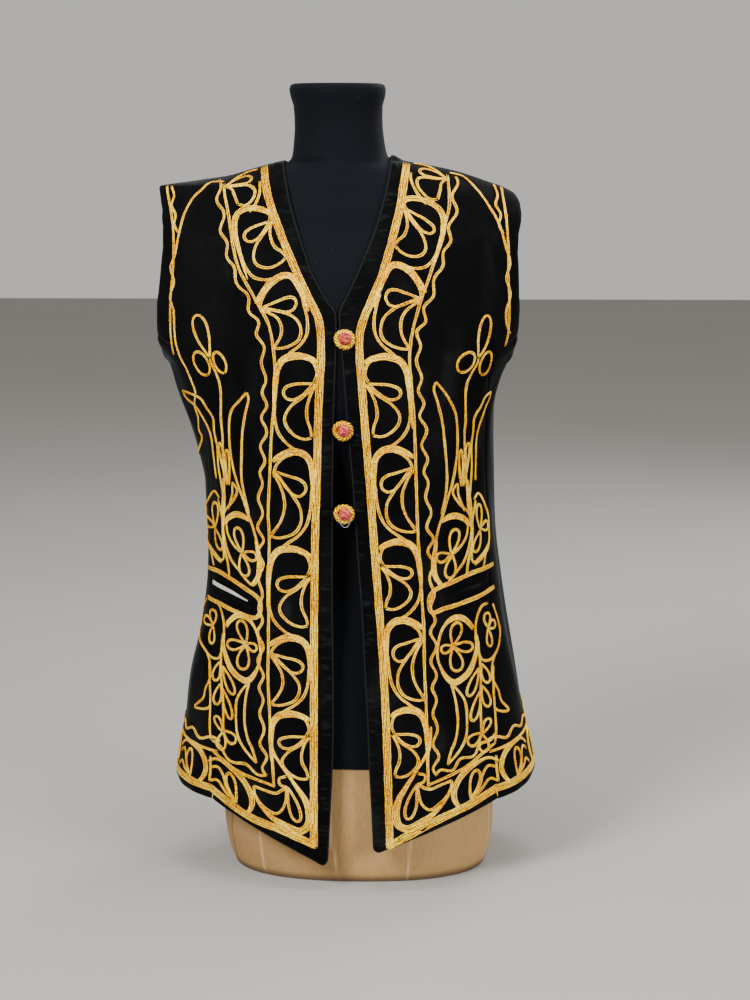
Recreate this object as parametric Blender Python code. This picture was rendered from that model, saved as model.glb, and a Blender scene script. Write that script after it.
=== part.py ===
"""Embroidered folk vest on a limbless dress form, modelled as closed solids.

Tables are in millimetres. x is sideways, y is depth (the front faces -y) and
z is up from the flat base of the form. Everything is shaped upright first and
then sheared by LEAN, because the form in the photo leans a little sideways.
"""
import math

import bmesh
import bpy
import numpy as np
from mathutils import Vector
from mathutils.geometry import delaunay_2d_cdt

MM = 0.001
LEAN = -0.028            # sideways shift of the centre line per unit of height

WALL = 2.0               # velvet with its backing
SEAM_GAP = 0.4           # clearance left at every seam
COVER_WALL = 1.2         # knitted cover of the form
COVER_GAP = 0.3          # between the cover and the form
CORD = 3.2               # width of one couched cord line
BAND = 8.6               # width of the three-cord edge band
RAISE_LOW = 0.7          # underside of the cord above the velvet
RAISE_HIGH = 2.8         # top of the cord above the velvet
COLUMN_FRONT = 7         # columns across a front panel
COLUMN_SIDE = 4
FORM_SIDES = 20

# Outer face of the vest as stacked rings:
# height, left half width, right half width, front depth, back depth, squareness
VEST_RINGS = (
    (774, 46, 55, 53, 55, 1.90),
    (766.5, 61, 68, 56, 59, 1.60),
    (763, 75, 88, 58, 61, 1.50),
    (757, 97, 118, 61, 64, 1.45),
    (751, 118, 139, 64, 68, 1.45),
    (745, 157, 156, 67, 71, 1.50),
    (739, 195, 173, 69, 74, 1.60),
    (731, 199, 187, 72, 77, 1.75),
    (720, 202, 197, 76, 81, 1.95),
    (702, 205, 204, 82, 87, 2.20),
    (675, 206, 203, 93, 93, 2.35),
    (646, 207, 201, 104, 98, 2.40),
    (617, 209, 199, 112, 102, 2.40),
    (588, 206, 193, 119, 104, 2.40),
    (565, 198, 183, 123, 105, 2.40),
    (551, 189, 173, 125, 105, 2.40),
    (525, 181, 163, 127, 103, 2.40),
    (500, 174, 159, 127, 101, 2.40),
    (449, 161, 158, 124, 95, 2.40),
    (423, 157, 158, 122, 93, 2.40),
    (376, 157, 159, 120, 92, 2.40),
    (319, 159, 163, 121, 98, 2.40),
    (269, 166, 168.5, 124, 104, 2.40),
    (230, 176, 174, 126, 109, 2.40),
    (200, 182, 179, 128, 113, 2.40),
    (160, 188, 186, 131, 118, 2.40),
    (124, 196, 193, 134, 122, 2.40),
    (98, 200, 196, 135, 124, 2.40),
    (20, 206, 202, 139, 128, 2.40),
)

# Outer face of the covered form, same columns
FORM_RINGS = (
    (800, 47, 47, 47, 47, 2.00),
    (785, 48.5, 48.5, 48.5, 49, 2.00),
    (770, 51, 52, 51, 52, 1.95),
    (765, 55, 61, 52.5, 53, 1.65),
    (761, 66, 78, 55, 55, 1.50),
    (755.2, 87, 107, 57, 57.5, 1.45),
    (749.2, 110, 131, 59.5, 62, 1.45),
    (743.2, 134, 146, 62.5, 65, 1.50),
    (736.2, 155, 158, 64.5, 68, 1.60),
    (727.6, 165, 165, 67.5, 71, 1.75),
    (717, 170, 170, 71.5, 74.5, 1.95),
    (698, 172, 172, 78, 81, 2.20),
    (670, 170, 168, 90, 89, 2.35),
    (645, 166, 163, 100, 94, 2.40),
    (615, 161, 158, 108, 98, 2.40),
    (585, 156, 153, 115, 100, 2.40),
    (550, 150, 146, 120, 100, 2.40),
    (520, 144, 140, 121, 97, 2.40),
    (490, 137, 133, 117, 91, 2.40),
    (450, 127, 125, 106, 84, 2.40),
    (410, 119, 119, 96, 79, 2.40),
    (370, 117, 118, 91, 78, 2.40),
    (330, 121, 122, 93, 83, 2.40),
    (280, 131, 131, 100, 92, 2.40),
    (230, 141, 141, 107, 100, 2.40),
    (180, 147, 147, 112, 105, 2.40),
    (129, 150, 150, 115, 108, 2.40),
    (90, 151, 151, 116, 109, 2.40),
    (45, 150, 150, 115, 108, 2.40),
    (22, 147, 147, 112, 105, 2.40),
    (7, 143, 143, 109, 102, 2.40),
    (0, 140, 140, 106, 99, 2.40),
)

# Heights at which the form's rings are cut, from the base up
FORM_CUTS = (0, 7, 24, 127, 190, 260, 330, 400, 460, 515, 565, 615, 660, 696,
             718, 733, 744, 752, 759, 766, 776, 800, 824)
COVER_EDGE = 127
NECK_CAP = ((824, 47.5), (834, 50.5), (841, 51.5), (845.5, 50.0), (847, 46.5))


class Skin:
    """A stack of superellipse rings with smooth profiles between the rows."""

    def __init__(self, rings):
        table = np.array(sorted(rings), float)
        self.heights = table[:, 0]
        self.columns = table[:, 1:]
        self.slopes = np.zeros_like(self.columns)
        steps = np.diff(self.heights)
        rises = np.diff(self.columns, axis=0) / steps[:, None]
        for k in range(1, len(self.heights) - 1):
            before, after = rises[k - 1], rises[k]
            weight_1 = 2 * steps[k] + steps[k - 1]
            weight_2 = steps[k] + 2 * steps[k - 1]
            for c in range(self.columns.shape[1]):
                if before[c] * after[c] > 0:
                    total = weight_1 / before[c] + weight_2 / after[c]
                    self.slopes[k, c] = (weight_1 + weight_2) / total
        self.slopes[0] = rises[0]
        self.slopes[-1] = rises[-1]

    def ring(self, height):
        """Left, right, front, back and squareness at one height."""
        h = min(max(height, self.heights[0]), self.heights[-1])
        k = min(int(np.searchsorted(self.heights, h, side="right")) - 1, len(self.heights) - 2)
        step = self.heights[k + 1] - self.heights[k]
        t = (h - self.heights[k]) / step
        low, high = self.columns[k], self.columns[k + 1]
        h00 = 2 * t ** 3 - 3 * t ** 2 + 1
        h10 = t ** 3 - 2 * t ** 2 + t
        h01 = -2 * t ** 3 + 3 * t ** 2
        h11 = t ** 3 - t ** 2
        return h00 * low + h10 * step * self.slopes[k] + h01 * high + h11 * step * self.slopes[k + 1]

    def level(self, x, y, z):
        """Below 1 inside the ring, above 1 outside."""
        left, right, front, back, square = self.ring(z)
        wide = left if x < 0 else right
        deep = front if y < 0 else back
        return (abs(x) / wide) ** square + (abs(y) / deep) ** square

    def from_front(self, x, z, side=-1):
        """Point on the front (side -1) or back (side 1) face over x and z."""
        left, right, front, back, square = self.ring(z)
        share = min(abs(x) / (left if x < 0 else right), 1.0)
        deep = front if side < 0 else back
        return np.array((x, side * deep * (1 - share ** square) ** (1 / square), z))

    def from_side(self, y, z, side):
        """Point on the left (side -1) or right (side 1) face over y and z."""
        left, right, front, back, square = self.ring(z)
        share = min(abs(y) / (front if y < 0 else back), 1.0)
        wide = left if side < 0 else right
        return np.array((side * wide * (1 - share ** square) ** (1 / square), y, z))

    def around(self, turn, z):
        """Point at a turn of 0 to 1 round the ring, from the front centre to +x."""
        left, right, front, back, square = self.ring(z)
        angle = 2 * math.pi * turn
        c, s = math.cos(angle), math.sin(angle)
        wide = right if s >= 0 else left
        deep = front if c >= 0 else back
        power = 2 / square
        return np.array((wide * math.copysign(abs(s) ** power, s),
                         -deep * math.copysign(abs(c) ** power, c), z))

    def normal(self, point):
        x, y, z = point
        step = 0.4
        rise = np.array((
            self.level(x + step, y, z) - self.level(x - step, y, z),
            self.level(x, y + step, z) - self.level(x, y - step, z),
            self.level(x, y, z + step) - self.level(x, y, z - step)))
        return rise / np.linalg.norm(rise)


VEST = Skin(VEST_RINGS)
FORM = Skin(FORM_RINGS)


def place(point):
    """Table point in millimetres to scene metres, with the lean put in."""
    x, y, z = point
    return ((x + LEAN * z) * MM, y * MM, z * MM)


def build(name, points, faces, material, collection):
    """One closed mesh object facing outwards."""
    mesh = bpy.data.meshes.new(name)
    mesh.from_pydata([place(p) for p in points], [], faces)
    mesh.update()
    work = bmesh.new()
    work.from_mesh(mesh)
    bmesh.ops.remove_doubles(work, verts=work.verts, dist=0.000001)
    bmesh.ops.recalc_face_normals(work, faces=work.faces)
    work.to_mesh(mesh)
    work.free()
    mesh.materials.append(material)
    thing = bpy.data.objects.new(name, mesh)
    collection.objects.link(thing)
    return thing


def paint(name, colour, rough, sheen=0.0):
    material = bpy.data.materials.new(name)
    material.use_nodes = True
    shader = material.node_tree.nodes["Principled BSDF"]
    shader.inputs["Base Color"].default_value = (*colour, 1.0)
    shader.inputs["Roughness"].default_value = rough
    shader.inputs["Sheen Weight"].default_value = sheen
    material.diffuse_color = (*colour, 1.0)
    return material


def spline(points, pieces):
    """Smooth curve through the points, cut into equal pieces along its length."""
    p = np.array(points, float)
    if len(p) == 2:
        return np.array([p[0] + (p[1] - p[0]) * t for t in np.linspace(0, 1, pieces + 1)])
    ends = np.vstack((2 * p[0] - p[1], p, 2 * p[-1] - p[-2]))
    fine = []
    for k in range(1, len(ends) - 2):
        a, b, c, d = ends[k - 1:k + 3]
        for t in np.linspace(0, 1, 12, endpoint=False):
            fine.append(0.5 * (2 * b + (c - a) * t + (2 * a - 5 * b + 4 * c - d) * t ** 2
                               + (3 * b - a - 3 * c + d) * t ** 3))
    fine.append(p[-1])
    fine = np.array(fine)
    run = np.concatenate(((0,), np.cumsum(np.linalg.norm(np.diff(fine[:, :2], axis=0), axis=1))))
    marks = np.linspace(0, run[-1], pieces + 1)
    return np.stack([np.interp(marks, run, fine[:, k]) for k in range(fine.shape[1])], axis=1)


def table_at(table, key):
    """Second column of a two-column table at a value of the first."""
    t = np.array(sorted(table), float)
    return float(np.interp(key, t[:, 0], t[:, 1]))


def sheet(name, grid, material, collection, wall=WALL):
    """A panel: a grid of outer points, an inner face one wall deeper, closed at the rim."""
    rows, columns = len(grid), len(grid[0])
    outer = [p for row in grid for p in row]
    inner = [p - VEST.normal(p) * wall for p in outer]
    count = len(outer)
    faces = []
    for r in range(rows - 1):
        for c in range(columns - 1):
            a, b = r * columns + c, r * columns + c + 1
            d, e = a + columns, b + columns
            faces.append((a, b, e))
            faces.append((a, e, d))
            faces.append((count + a, count + e, count + b))
            faces.append((count + a, count + d, count + e))
    rim = [c for c in range(columns)]
    rim += [r * columns + columns - 1 for r in range(1, rows)]
    rim += [(rows - 1) * columns + c for c in range(columns - 2, -1, -1)]
    rim += [r * columns for r in range(rows - 2, 0, -1)]
    for k, a in enumerate(rim):
        b = rim[(k + 1) % len(rim)]
        faces.append((a, count + a, count + b, b))
    return build(name, outer + inner, faces, material, collection)


# Front panels: x and height of the opening edge, hem to neck point, row by row
FRONT_EDGE = {
    -1: ((-28, 25), (-25.4, 60), (-22.6, 95), (-20, 130), (-18, 165), (-17, 200), (-16.2, 235),
         (-15.7, 270), (-15.1, 305), (-14.2, 340), (-13, 375), (-11.8, 410), (-10.6, 440),
         (-9.3, 470), (-7.8, 500), (-5.9, 530), (-4.4, 555), (-3.2, 582), (-2.9, 610),
         (-10, 622), (-19, 637), (-28, 655), (-36.5, 680), (-44, 704), (-49.5, 724), (-53, 741),
         (-56, 753), (-58.4, 762), (-59.2, 766), (-59.4, 767.1)),
    1: ((20.5, 40), (20, 68), (19.3, 100), (18.5, 132), (18, 165), (17.4, 200), (16.4, 235),
        (15.6, 270), (14.6, 305), (13, 340), (11.5, 375), (10.2, 410), (9.2, 440), (7.4, 470),
        (5.8, 500), (4.3, 530), (3.1, 555), (1.6, 582), (0.5, 611), (9, 630), (18, 648),
        (27, 668), (36, 689), (43.5, 711), (49.5, 732), (53.2, 748), (55.2, 760), (56, 768),
        (56.2, 772), (56.3, 773.2)),
}
# Heights of the other edge of the same rows: side-front seam, then armhole
SEAM_HEIGHT = {
    -1: (89, 115, 142, 169, 197, 225, 253, 282, 312, 343, 375, 408, 438, 467, 495, 520, 541,
         559, 573, 583, 604, 628, 652, 676, 697, 714, 726, 734, 738.2, 739),
    1: (91, 117, 143, 170, 197, 225, 253, 282, 312, 343, 375, 408, 438, 467, 495, 520, 541,
        559, 573, 583, 603, 626, 648, 670, 690, 706, 718, 726, 730.2, 731),
}
SEAM_ROWS = 20           # rows on the seam; the rest lie on the armhole
# height and sideways distance of the side-front seam
SEAM_X = {
    -1: ((89, 154), (194, 151), (300, 150), (375, 147), (440, 148), (495, 152), (541, 156),
         (559, 165), (573, 181), (583, 197)),
    1: ((91, 154), (194, 152), (300, 150), (375, 149), (440, 149), (495, 151), (541, 154),
        (559, 160), (573, 170), (583, 184)),
}
# height and depth of the armhole edge away from the shoulder line
ARMHOLE_DEPTH = {
    -1: ((583, 38), (604, 46), (628, 49), (652, 48), (676, 45), (697, 38), (714, 29), (726, 18),
         (734, 9), (738.2, 2.5), (739, 0.2)),
    1: ((583, 37), (603, 44), (626, 47), (648, 46), (670, 44), (690, 38), (706, 29), (718, 18),
        (726, 9), (730.2, 2.5), (731, 0.2)),
}
# height and depth of the side-back seam
BACK_SEAM = ((95, 78), (200, 68), (300, 58), (420, 50), (500, 52), (550, 52), (573, 44), (583, 38))
ARM_LOW = 552            # bottom of the armhole
JOIN = 583               # height at which the seams meet the armhole
ARMHOLE_BACK = 1.05      # back half of the armhole against the front half
NECK_DIP = 22            # back neckline below the neck points
SIDE_BACK_HEIGHT = {
    -1: (103, 124, 147, 172, 198) + SEAM_HEIGHT[-1][5:20],
    1: (117, 134, 154, 176, 200) + SEAM_HEIGHT[1][5:20],
}
# sideways places of the back's columns along its top edge
BACK_TOP_X = (-195, -161, -127, -93, -59.4, -55.5, -46, -30, -1.5, 27, 43, 52.5, 56.3, 89,
              122, 155, 187)

# Corner cutting of the cord outlines, in millimetres
SLACK = 0.34             # a point this near its neighbours' line is left out
NEAR_SLACK = 0.6         # the same where its neighbour is very near
SHORTEST = 2.4
SAG = 0.40               # largest rise of the velvet above a straight run of cord
LONGEST = 26.0
PATCH = 0.6              # small square laid over a pinched corner
SMALLEST_HOLE = 2.0      # square millimetres
# sideways distance and height of the shoulder seam
SHOULDER = {
    -1: ((59.4, 767.1), (61, 766.5), (75, 763), (97, 757), (118, 751), (157, 745), (195, 739)),
    1: ((56.3, 773.2), (68, 766.5), (88, 763), (118, 757), (139, 751), (156, 745), (173, 739),
        (187, 731)),
}


def shoulder_height(x):
    """Height at which the ring is exactly as wide as x."""
    side = 0 if x < 0 else 1
    low, high = 700.0, 774.0
    for _ in range(40):
        mid = 0.5 * (low + high)
        if VEST.ring(mid)[side] > abs(x):
            low = mid
        else:
            high = mid
    return low


def seam_point(side, z):
    """Point on the side-front seam."""
    return VEST.from_front(side * table_at(SEAM_X[side], z), z)




def front_grid(side):
    """Outer points of a front, row by row from the hem to the shoulder seam."""
    edge, heights = FRONT_EDGE[side], SEAM_HEIGHT[side]
    count = len(edge)
    outline = []
    for r in range(count):
        if r < SEAM_ROWS - 1:
            point = seam_point(side, heights[r])
            outline.append((point[0] - side * 0.5 * SEAM_GAP, point[2]))
        else:
            back_off = 0.5 * SEAM_GAP if r == SEAM_ROWS - 1 else 0.0
            depth = table_at(ARMHOLE_DEPTH[side], heights[r]) + back_off
            point = VEST.from_side(-depth, heights[r], side)
            outline.append((point[0], point[2]))
    grid = [[None] * (COLUMN_FRONT + 1) for _ in range(count)]
    for c in range(COLUMN_FRONT + 1):
        t = c / COLUMN_FRONT
        hem = edge[0][1] + (outline[0][1] - edge[0][1]) * t
        top_x = edge[-1][0] + (outline[-1][0] - edge[-1][0]) * t
        top = shoulder_height(top_x)
        for r in range(count):
            x = edge[r][0] + (outline[r][0] - edge[r][0]) * t
            up_in = (edge[r][1] - edge[0][1]) / (edge[-1][1] - edge[0][1])
            up_out = (outline[r][1] - outline[0][1]) / (outline[-1][1] - outline[0][1])
            z = hem + (top - hem) * (up_in + (up_out - up_in) * t)
            if r == count - 1:
                grid[r][c] = np.array((top_x, -0.5 * SEAM_GAP, top))
            elif c == 0:
                grid[r][c] = VEST.from_front(edge[r][0], edge[r][1])
            elif c == COLUMN_FRONT and r >= SEAM_ROWS - 1:
                back_off = 0.5 * SEAM_GAP if r == SEAM_ROWS - 1 else 0.0
                grid[r][c] = VEST.from_side(-table_at(ARMHOLE_DEPTH[side], z) - back_off, z, side)
            else:
                grid[r][c] = VEST.from_front(x, z)
    return grid


def side_grid(side):
    """Outer points of a side panel, from the hem to the bottom of the armhole."""
    grid = []
    for r in range(SEAM_ROWS):
        z_front = SEAM_HEIGHT[side][r]
        z_back = SIDE_BACK_HEIGHT[side][r]
        if r == SEAM_ROWS - 1:
            y_front = -table_at(ARMHOLE_DEPTH[side], z_front)
        else:
            y_front = seam_point(side, z_front)[1]
        y_front += 0.5 * SEAM_GAP
        y_back = table_at(BACK_SEAM, z_back) - 0.5 * SEAM_GAP
        dip = (JOIN - ARM_LOW) * max(0.0, (z_front - 400) / (JOIN - 400)) ** 1.2
        row = []
        for c in range(COLUMN_SIDE + 1):
            t = c / COLUMN_SIDE
            y = y_front + (y_back - y_front) * t
            z = z_front + (z_back - z_front) * t - dip * (1 - (2 * t - 1) ** 2)
            row.append(VEST.from_side(y, z, side))
        grid.append(row if side > 0 else row[::-1])
    return grid


def back_top(x):
    """Height of the back's top edge: shoulder seams and the neckline between them."""
    side = -1 if x < 0 else 1
    neck, height = SHOULDER[side][0]
    if abs(x) >= neck - 0.01:
        return shoulder_height(x)
    middle = 0.5 * (SHOULDER[-1][0][1] + SHOULDER[1][0][1]) - NECK_DIP
    return height + (middle - height) * (1 - (abs(x) / neck) ** 2.6)


def back_grid():
    """Outer points of the back, from the hem to the shoulder seams and neckline."""
    count = len(SEAM_HEIGHT[1])
    edges = {}
    for side in (-1, 1):
        rim = []
        for r in range(count):
            if r < SEAM_ROWS:
                z = SIDE_BACK_HEIGHT[side][r]
                y = table_at(BACK_SEAM, z) + 0.5 * SEAM_GAP
            else:
                z = SEAM_HEIGHT[side][r]
                y = table_at(ARMHOLE_DEPTH[side], z) * ARMHOLE_BACK
            rim.append(VEST.from_side(y, z, side))
        edges[side] = rim
    x_low, x_high = edges[-1][-1][0], edges[1][-1][0]
    grid = [[None] * len(BACK_TOP_X) for _ in range(count)]
    for c, top_x in enumerate(BACK_TOP_X):
        t = (top_x - x_low) / (x_high - x_low)
        t = min(max(t, 0.0), 1.0)
        hem = edges[-1][0][2] + (edges[1][0][2] - edges[-1][0][2]) * t
        top = back_top(top_x)
        for r in range(count):
            left, right = edges[-1][r], edges[1][r]
            share_left = (left[2] - edges[-1][0][2]) / (edges[-1][-1][2] - edges[-1][0][2])
            share_right = (right[2] - edges[1][0][2]) / (edges[1][-1][2] - edges[1][0][2])
            z = hem + (top - hem) * (share_left + (share_right - share_left) * t)
            x = left[0] + (right[0] - left[0]) * t
            if c == 0:
                point = left.copy()
            elif c == len(BACK_TOP_X) - 1:
                point = right.copy()
            else:
                point = VEST.from_front(x, z, 1)
            if r == count - 1 and abs(top_x) >= SHOULDER[-1 if top_x < 0 else 1][0][0] - 0.01:
                point = np.array((top_x, 0.5 * SEAM_GAP, shoulder_height(top_x)))
            grid[r][c] = point
    return [row[::-1] for row in grid]


def form_shell(inset, from_height):
    """Rings of the form drawn in by inset, from one height up, then the neck cap."""
    rings = []
    heights = [h for h in FORM_CUTS if h >= from_height]
    for h in heights:
        ring = []
        for k in range(FORM_SIDES):
            p = FORM.around(k / FORM_SIDES, h)
            ring.append(p - flat_normal(p) * inset if 0 < h < 800 else p + radial(p) * -inset)
        rings.append(ring)
    for h, radius in NECK_CAP[1:]:
        ring = []
        for k in range(FORM_SIDES):
            angle = 2 * math.pi * k / FORM_SIDES
            r = radius - inset
            ring.append(np.array((r * math.sin(angle), -r * math.cos(angle), h - inset)))
        rings.append(ring)
    return rings


def radial(p):
    flat = np.array((p[0], p[1], 0.0))
    return flat / np.linalg.norm(flat)


def flat_normal(p):
    """Outward normal of the form, kept off the vertical so rings stay in order."""
    n = FORM.normal(p)
    n[2] = max(n[2], -0.2)
    return n / np.linalg.norm(n)


def stacked(rings):
    """Triangles between rings of equal count, all cut the same way."""
    faces = []
    n = len(rings[0])
    for r in range(len(rings) - 1):
        for k in range(n):
            a, b = r * n + k, r * n + (k + 1) % n
            faces.append((a, b, b + n))
            faces.append((a, b + n, a + n))
    return faces


def make_form(body_paint, cover_paint, collection):
    rings = form_shell(COVER_WALL + COVER_GAP, 0)
    n = FORM_SIDES
    points = [p for ring in rings for p in ring]
    faces = stacked(rings)
    faces.append(tuple(range(n - 1, -1, -1)))
    last = (len(rings) - 1) * n
    faces.append(tuple(range(last, last + n)))
    build("form_body", points, faces, body_paint, collection)
    outer = form_shell(0.0, COVER_EDGE)
    inner = form_shell(COVER_WALL, COVER_EDGE)
    points = [p for ring in outer + inner for p in ring]
    faces = stacked(outer)
    shift = len(outer) * n
    for face in stacked(inner):
        faces.append(tuple(shift + k for k in reversed(face)))
    last = (len(outer) - 1) * n
    faces.append(tuple(range(last, last + n)))
    faces.append(tuple(range(shift + last + n - 1, shift + last - 1, -1)))
    for k in range(n):
        b = (k + 1) % n
        faces.append((k, shift + k, shift + b, b))
    build("form_cover", points, faces, cover_paint, collection)


class Patch:
    """A face of the vest that cords are drawn on with two flat coordinates."""

    def __init__(self, kind, side=0):
        self.kind = kind
        self.side = side

    def point(self, u, v):
        if self.kind == "front":
            return VEST.from_front(u, v)
        if self.kind == "back":
            return VEST.from_front(u, v, 1)
        return VEST.from_side(u, v, self.side)

    def flat(self, point):
        if self.kind == "side":
            return (point[1], point[2])
        return (point[0], point[2])

    def fitted(self, line):
        """The line with more rows where the velvet curves away from a straight run."""
        rows = [tuple(line[0])]
        for a, b in zip(line, line[1:]):
            ends = self.point(a[0], a[1]), self.point(b[0], b[1])
            mid = self.point(0.5 * (a[0] + b[0]), 0.5 * (a[1] + b[1]))
            sag = np.linalg.norm(mid - 0.5 * (ends[0] + ends[1]))
            cuts = max(1, math.ceil(math.sqrt(sag / SAG)))
            for k in range(1, cuts + 1):
                rows.append(tuple(a[i] + (b[i] - a[i]) * k / cuts for i in range(3)))
        return rows

    def stroke(self, line):
        """Quads of a cord laid along rows of u, v, width."""
        line = self.fitted(line)
        points = [self.point(u, v) for u, v, _ in line]
        pairs = []
        for k, p in enumerate(points):
            ahead = points[min(k + 1, len(points) - 1)] - points[max(k - 1, 0)]
            across = np.cross(VEST.normal(p), ahead)
            across *= 0.5 * line[k][2] / np.linalg.norm(across)
            pairs.append((self.flat(p - across), self.flat(p + across)))
        return [(a[0], b[0], b[1], a[1]) for a, b in zip(pairs, pairs[1:])]


def union(quads):
    """Outline loops of the union of flat quads, as closed lists of points."""
    points, faces = [], []
    for quad in quads:
        area = sum(quad[k][0] * quad[(k + 1) % len(quad)][1]
                   - quad[(k + 1) % len(quad)][0] * quad[k][1] for k in range(len(quad)))
        first = len(points)
        points.extend(Vector(p) for p in (quad if area > 0 else quad[::-1]))
        faces.append(list(range(first, first + len(quad))))
    where, _, triangles, _, _, owners = delaunay_2d_cdt(points, [], faces, 0, 0.02)
    ahead = {}
    kept = [t for t, owner in zip(triangles, owners) if owner]
    edges = {(t[k], t[(k + 1) % 3]) for t in kept for k in range(3)}
    for a, b in edges:
        if (b, a) not in edges:
            ahead.setdefault(a, []).append(b)
    pinched = [tuple(where[a]) for a, nexts in ahead.items() if len(nexts) > 1]
    if pinched:
        return None, pinched
    loops = []
    left = dict((a, nexts[0]) for a, nexts in ahead.items())
    while left:
        start = next(iter(left))
        loop, here = [], start
        while here in left:
            loop.append(tuple(where[here]))
            here = left.pop(here)
        loops.append(loop)
    return loops, []


def off_line(p, a, b):
    run = b - a
    length = np.linalg.norm(run)
    if length < 1e-9:
        return float(np.linalg.norm(p - a))
    return float(np.linalg.norm(np.cross(run, p - a))) / length


def thinned(loop, patch):
    """The loop without points that lie on the line of their neighbours."""
    loop = [(p, patch.point(*p)) for p in loop]
    k = 0
    kept = 0
    while kept < len(loop) and len(loop) > 4:
        k %= len(loop)
        a, p, b = loop[k - 1][1], loop[k][1], loop[(k + 1) % len(loop)][1]
        limit = NEAR_SLACK if math.dist(p, b) < SHORTEST else SLACK
        if off_line(p, a, b) < limit and math.dist(a, b) < LONGEST:
            loop.pop(k)
            k -= 1
            kept = 0
        else:
            k += 1
            kept += 1
    return [p for p, _ in loop]


def inside(x, y, loops):
    crossings = 0
    for loop in loops:
        for k, a in enumerate(loop):
            b = loop[(k + 1) % len(loop)]
            if (a[1] > y) != (b[1] > y):
                if x < a[0] + (y - a[1]) * (b[0] - a[0]) / (b[1] - a[1]):
                    crossings += 1
    return crossings % 2 == 1


def raised(name, patch, quads, material, collection, low=None, high=None):
    """One closed raised body over the union of the quads."""
    low = RAISE_LOW if low is None else low
    high = RAISE_HIGH if high is None else high
    for _ in range(8):
        loops, pinched = union(quads)
        if not pinched:
            break
        for x, y in pinched:
            quads = quads + [((x - PATCH, y), (x, y - PATCH), (x + PATCH, y), (x, y + PATCH))]
    loops = [thinned(loop, patch) for loop in loops if len(loop) > 3]
    loops = [loop for loop in loops if loop_area(loop) > SMALLEST_HOLE]
    points, edges = [], []
    for loop in loops:
        first = len(points)
        points.extend(Vector(p) for p in loop)
        edges.extend((first + k, first + (k + 1) % len(loop)) for k in range(len(loop)))
    where, _, triangles, _, _, _ = delaunay_2d_cdt(points, edges, [], 0, 0.001)
    kept = []
    for t in triangles:
        x = sum(where[k][0] for k in t) / 3
        y = sum(where[k][1] for k in t) / 3
        if inside(x, y, loops):
            kept.append(tuple(t))
    top, bottom = [], []
    for u, v in where:
        p = patch.point(u, v)
        n = VEST.normal(p)
        top.append(p + n * high)
        bottom.append(p + n * low)
    count = len(where)
    used = {(t[k], t[(k + 1) % 3]) for t in kept for k in range(3)}
    faces = list(kept) + [(count + t[0], count + t[2], count + t[1]) for t in kept]
    for a, b in sorted(used):
        if (b, a) not in used:
            faces.append((a, count + a, count + b, b))
    return build(name, top + bottom, faces, material, collection)


def loop_area(loop):
    return abs(sum(loop[k - 1][0] * loop[k][1] - loop[k][0] * loop[k - 1][1]
                   for k in range(len(loop)))) / 2


class Border:
    """Maps across (0 knot side, 1 heavy side) and along (0 to 1) to the border strip."""

    def __init__(self, stations):
        self.count = len(stations) - 1
        p_in = np.array([(s[0], s[1]) for s in stations], float)
        p_out = np.array([(s[2], s[3]) for s in stations], float)
        self.stations = (p_in, p_out)

    def edge(self, which, t):
        p = self.stations[which]
        ends = np.vstack((2 * p[0] - p[1], p, 2 * p[-1] - p[-2]))
        k = min(max(int(math.floor(t)), 0), self.count - 1)
        s = t - k
        a, b, c, d = ends[k:k + 4]
        return 0.5 * (2 * b + (c - a) * s + (2 * a - 5 * b + 4 * c - d) * s ** 2
                      + (3 * b - a - 3 * c + d) * s ** 3)

    def spot(self, share, t):
        """Share 0 lies on the inner line, 1 on the edge band."""
        a, b = self.edge(0, t), self.edge(1, t)
        return a + (b - a) * share


# One scroll of the border: share across from the knot side, share along, width
ARCH = ((0.02, 0.13, 5.0), (0.16, 0.055, 7.5), (0.40, 0.03, 8.5), (0.66, 0.07, 8.5),
        (0.85, 0.19, 8.0), (0.92, 0.38, 7.0), (0.93, 0.60, 5.5), (0.97, 0.88, 3.5))
HOOK = ((0.06, 0.11, 5.0), (0.07, 0.24, 5.0), (0.13, 0.35, 5.0), (0.34, 0.44, 4.0),
        (0.56, 0.465, CORD), (0.70, 0.41, CORD), (0.66, 0.345, CORD), (0.42, 0.32, CORD),
        (0.10, 0.30, CORD))
LEAF_BACK = ((0.10, 0.37, CORD), (0.22, 0.56, CORD), (0.17, 0.72, CORD), (0.08, 0.87, CORD))
LEAF_BELLY = ((0.14, 0.38, CORD), (0.52, 0.51, CORD), (0.70, 0.63, CORD), (0.62, 0.78, CORD),
              (0.38, 0.87, CORD), (0.08, 0.87, CORD))
TAIL = ((0.93, 0.45, CORD), (0.88, 0.70, CORD), (0.70, 0.86, CORD), (0.42, 0.95, CORD),
        (0.40, 1.04, CORD))
SCROLL = ((ARCH, 7), (HOOK, 8), (LEAF_BACK, 2), (LEAF_BELLY, 6), (TAIL, 3))


def scroll(border, k, heavy_on_line, length=1.0, parts=SCROLL, start=0.0):
    """Strokes of one scroll between two stations of the border."""
    lines = []
    for table, pieces in parts:
        rows = []
        for across, along, width in table:
            share = 1 - across if heavy_on_line else across
            x, z = border.spot(share, k + start + along * length)
            rows.append((x, z, width))
        lines.append(spline(rows, pieces))
    return lines


def ring_line(centre, wide, high, turn=0.0, width=CORD, pieces=10, pinch=0.0):
    """Closed oval stroke; a pinch draws its lower end to a point."""
    rows = []
    for k in range(pieces + 1):
        angle = 2 * math.pi * k / pieces
        x = wide * math.sin(angle)
        z = -high * math.cos(angle)
        x *= 1 - pinch * 0.5 * (1 + math.cos(angle))
        rows.append((centre[0] + x * math.cos(turn) - z * math.sin(turn),
                     centre[1] + x * math.sin(turn) + z * math.cos(turn), width))
    return rows


def flipped(line, side):
    return [(-u if side > 0 else u, v, w) for u, v, w in line]


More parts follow.
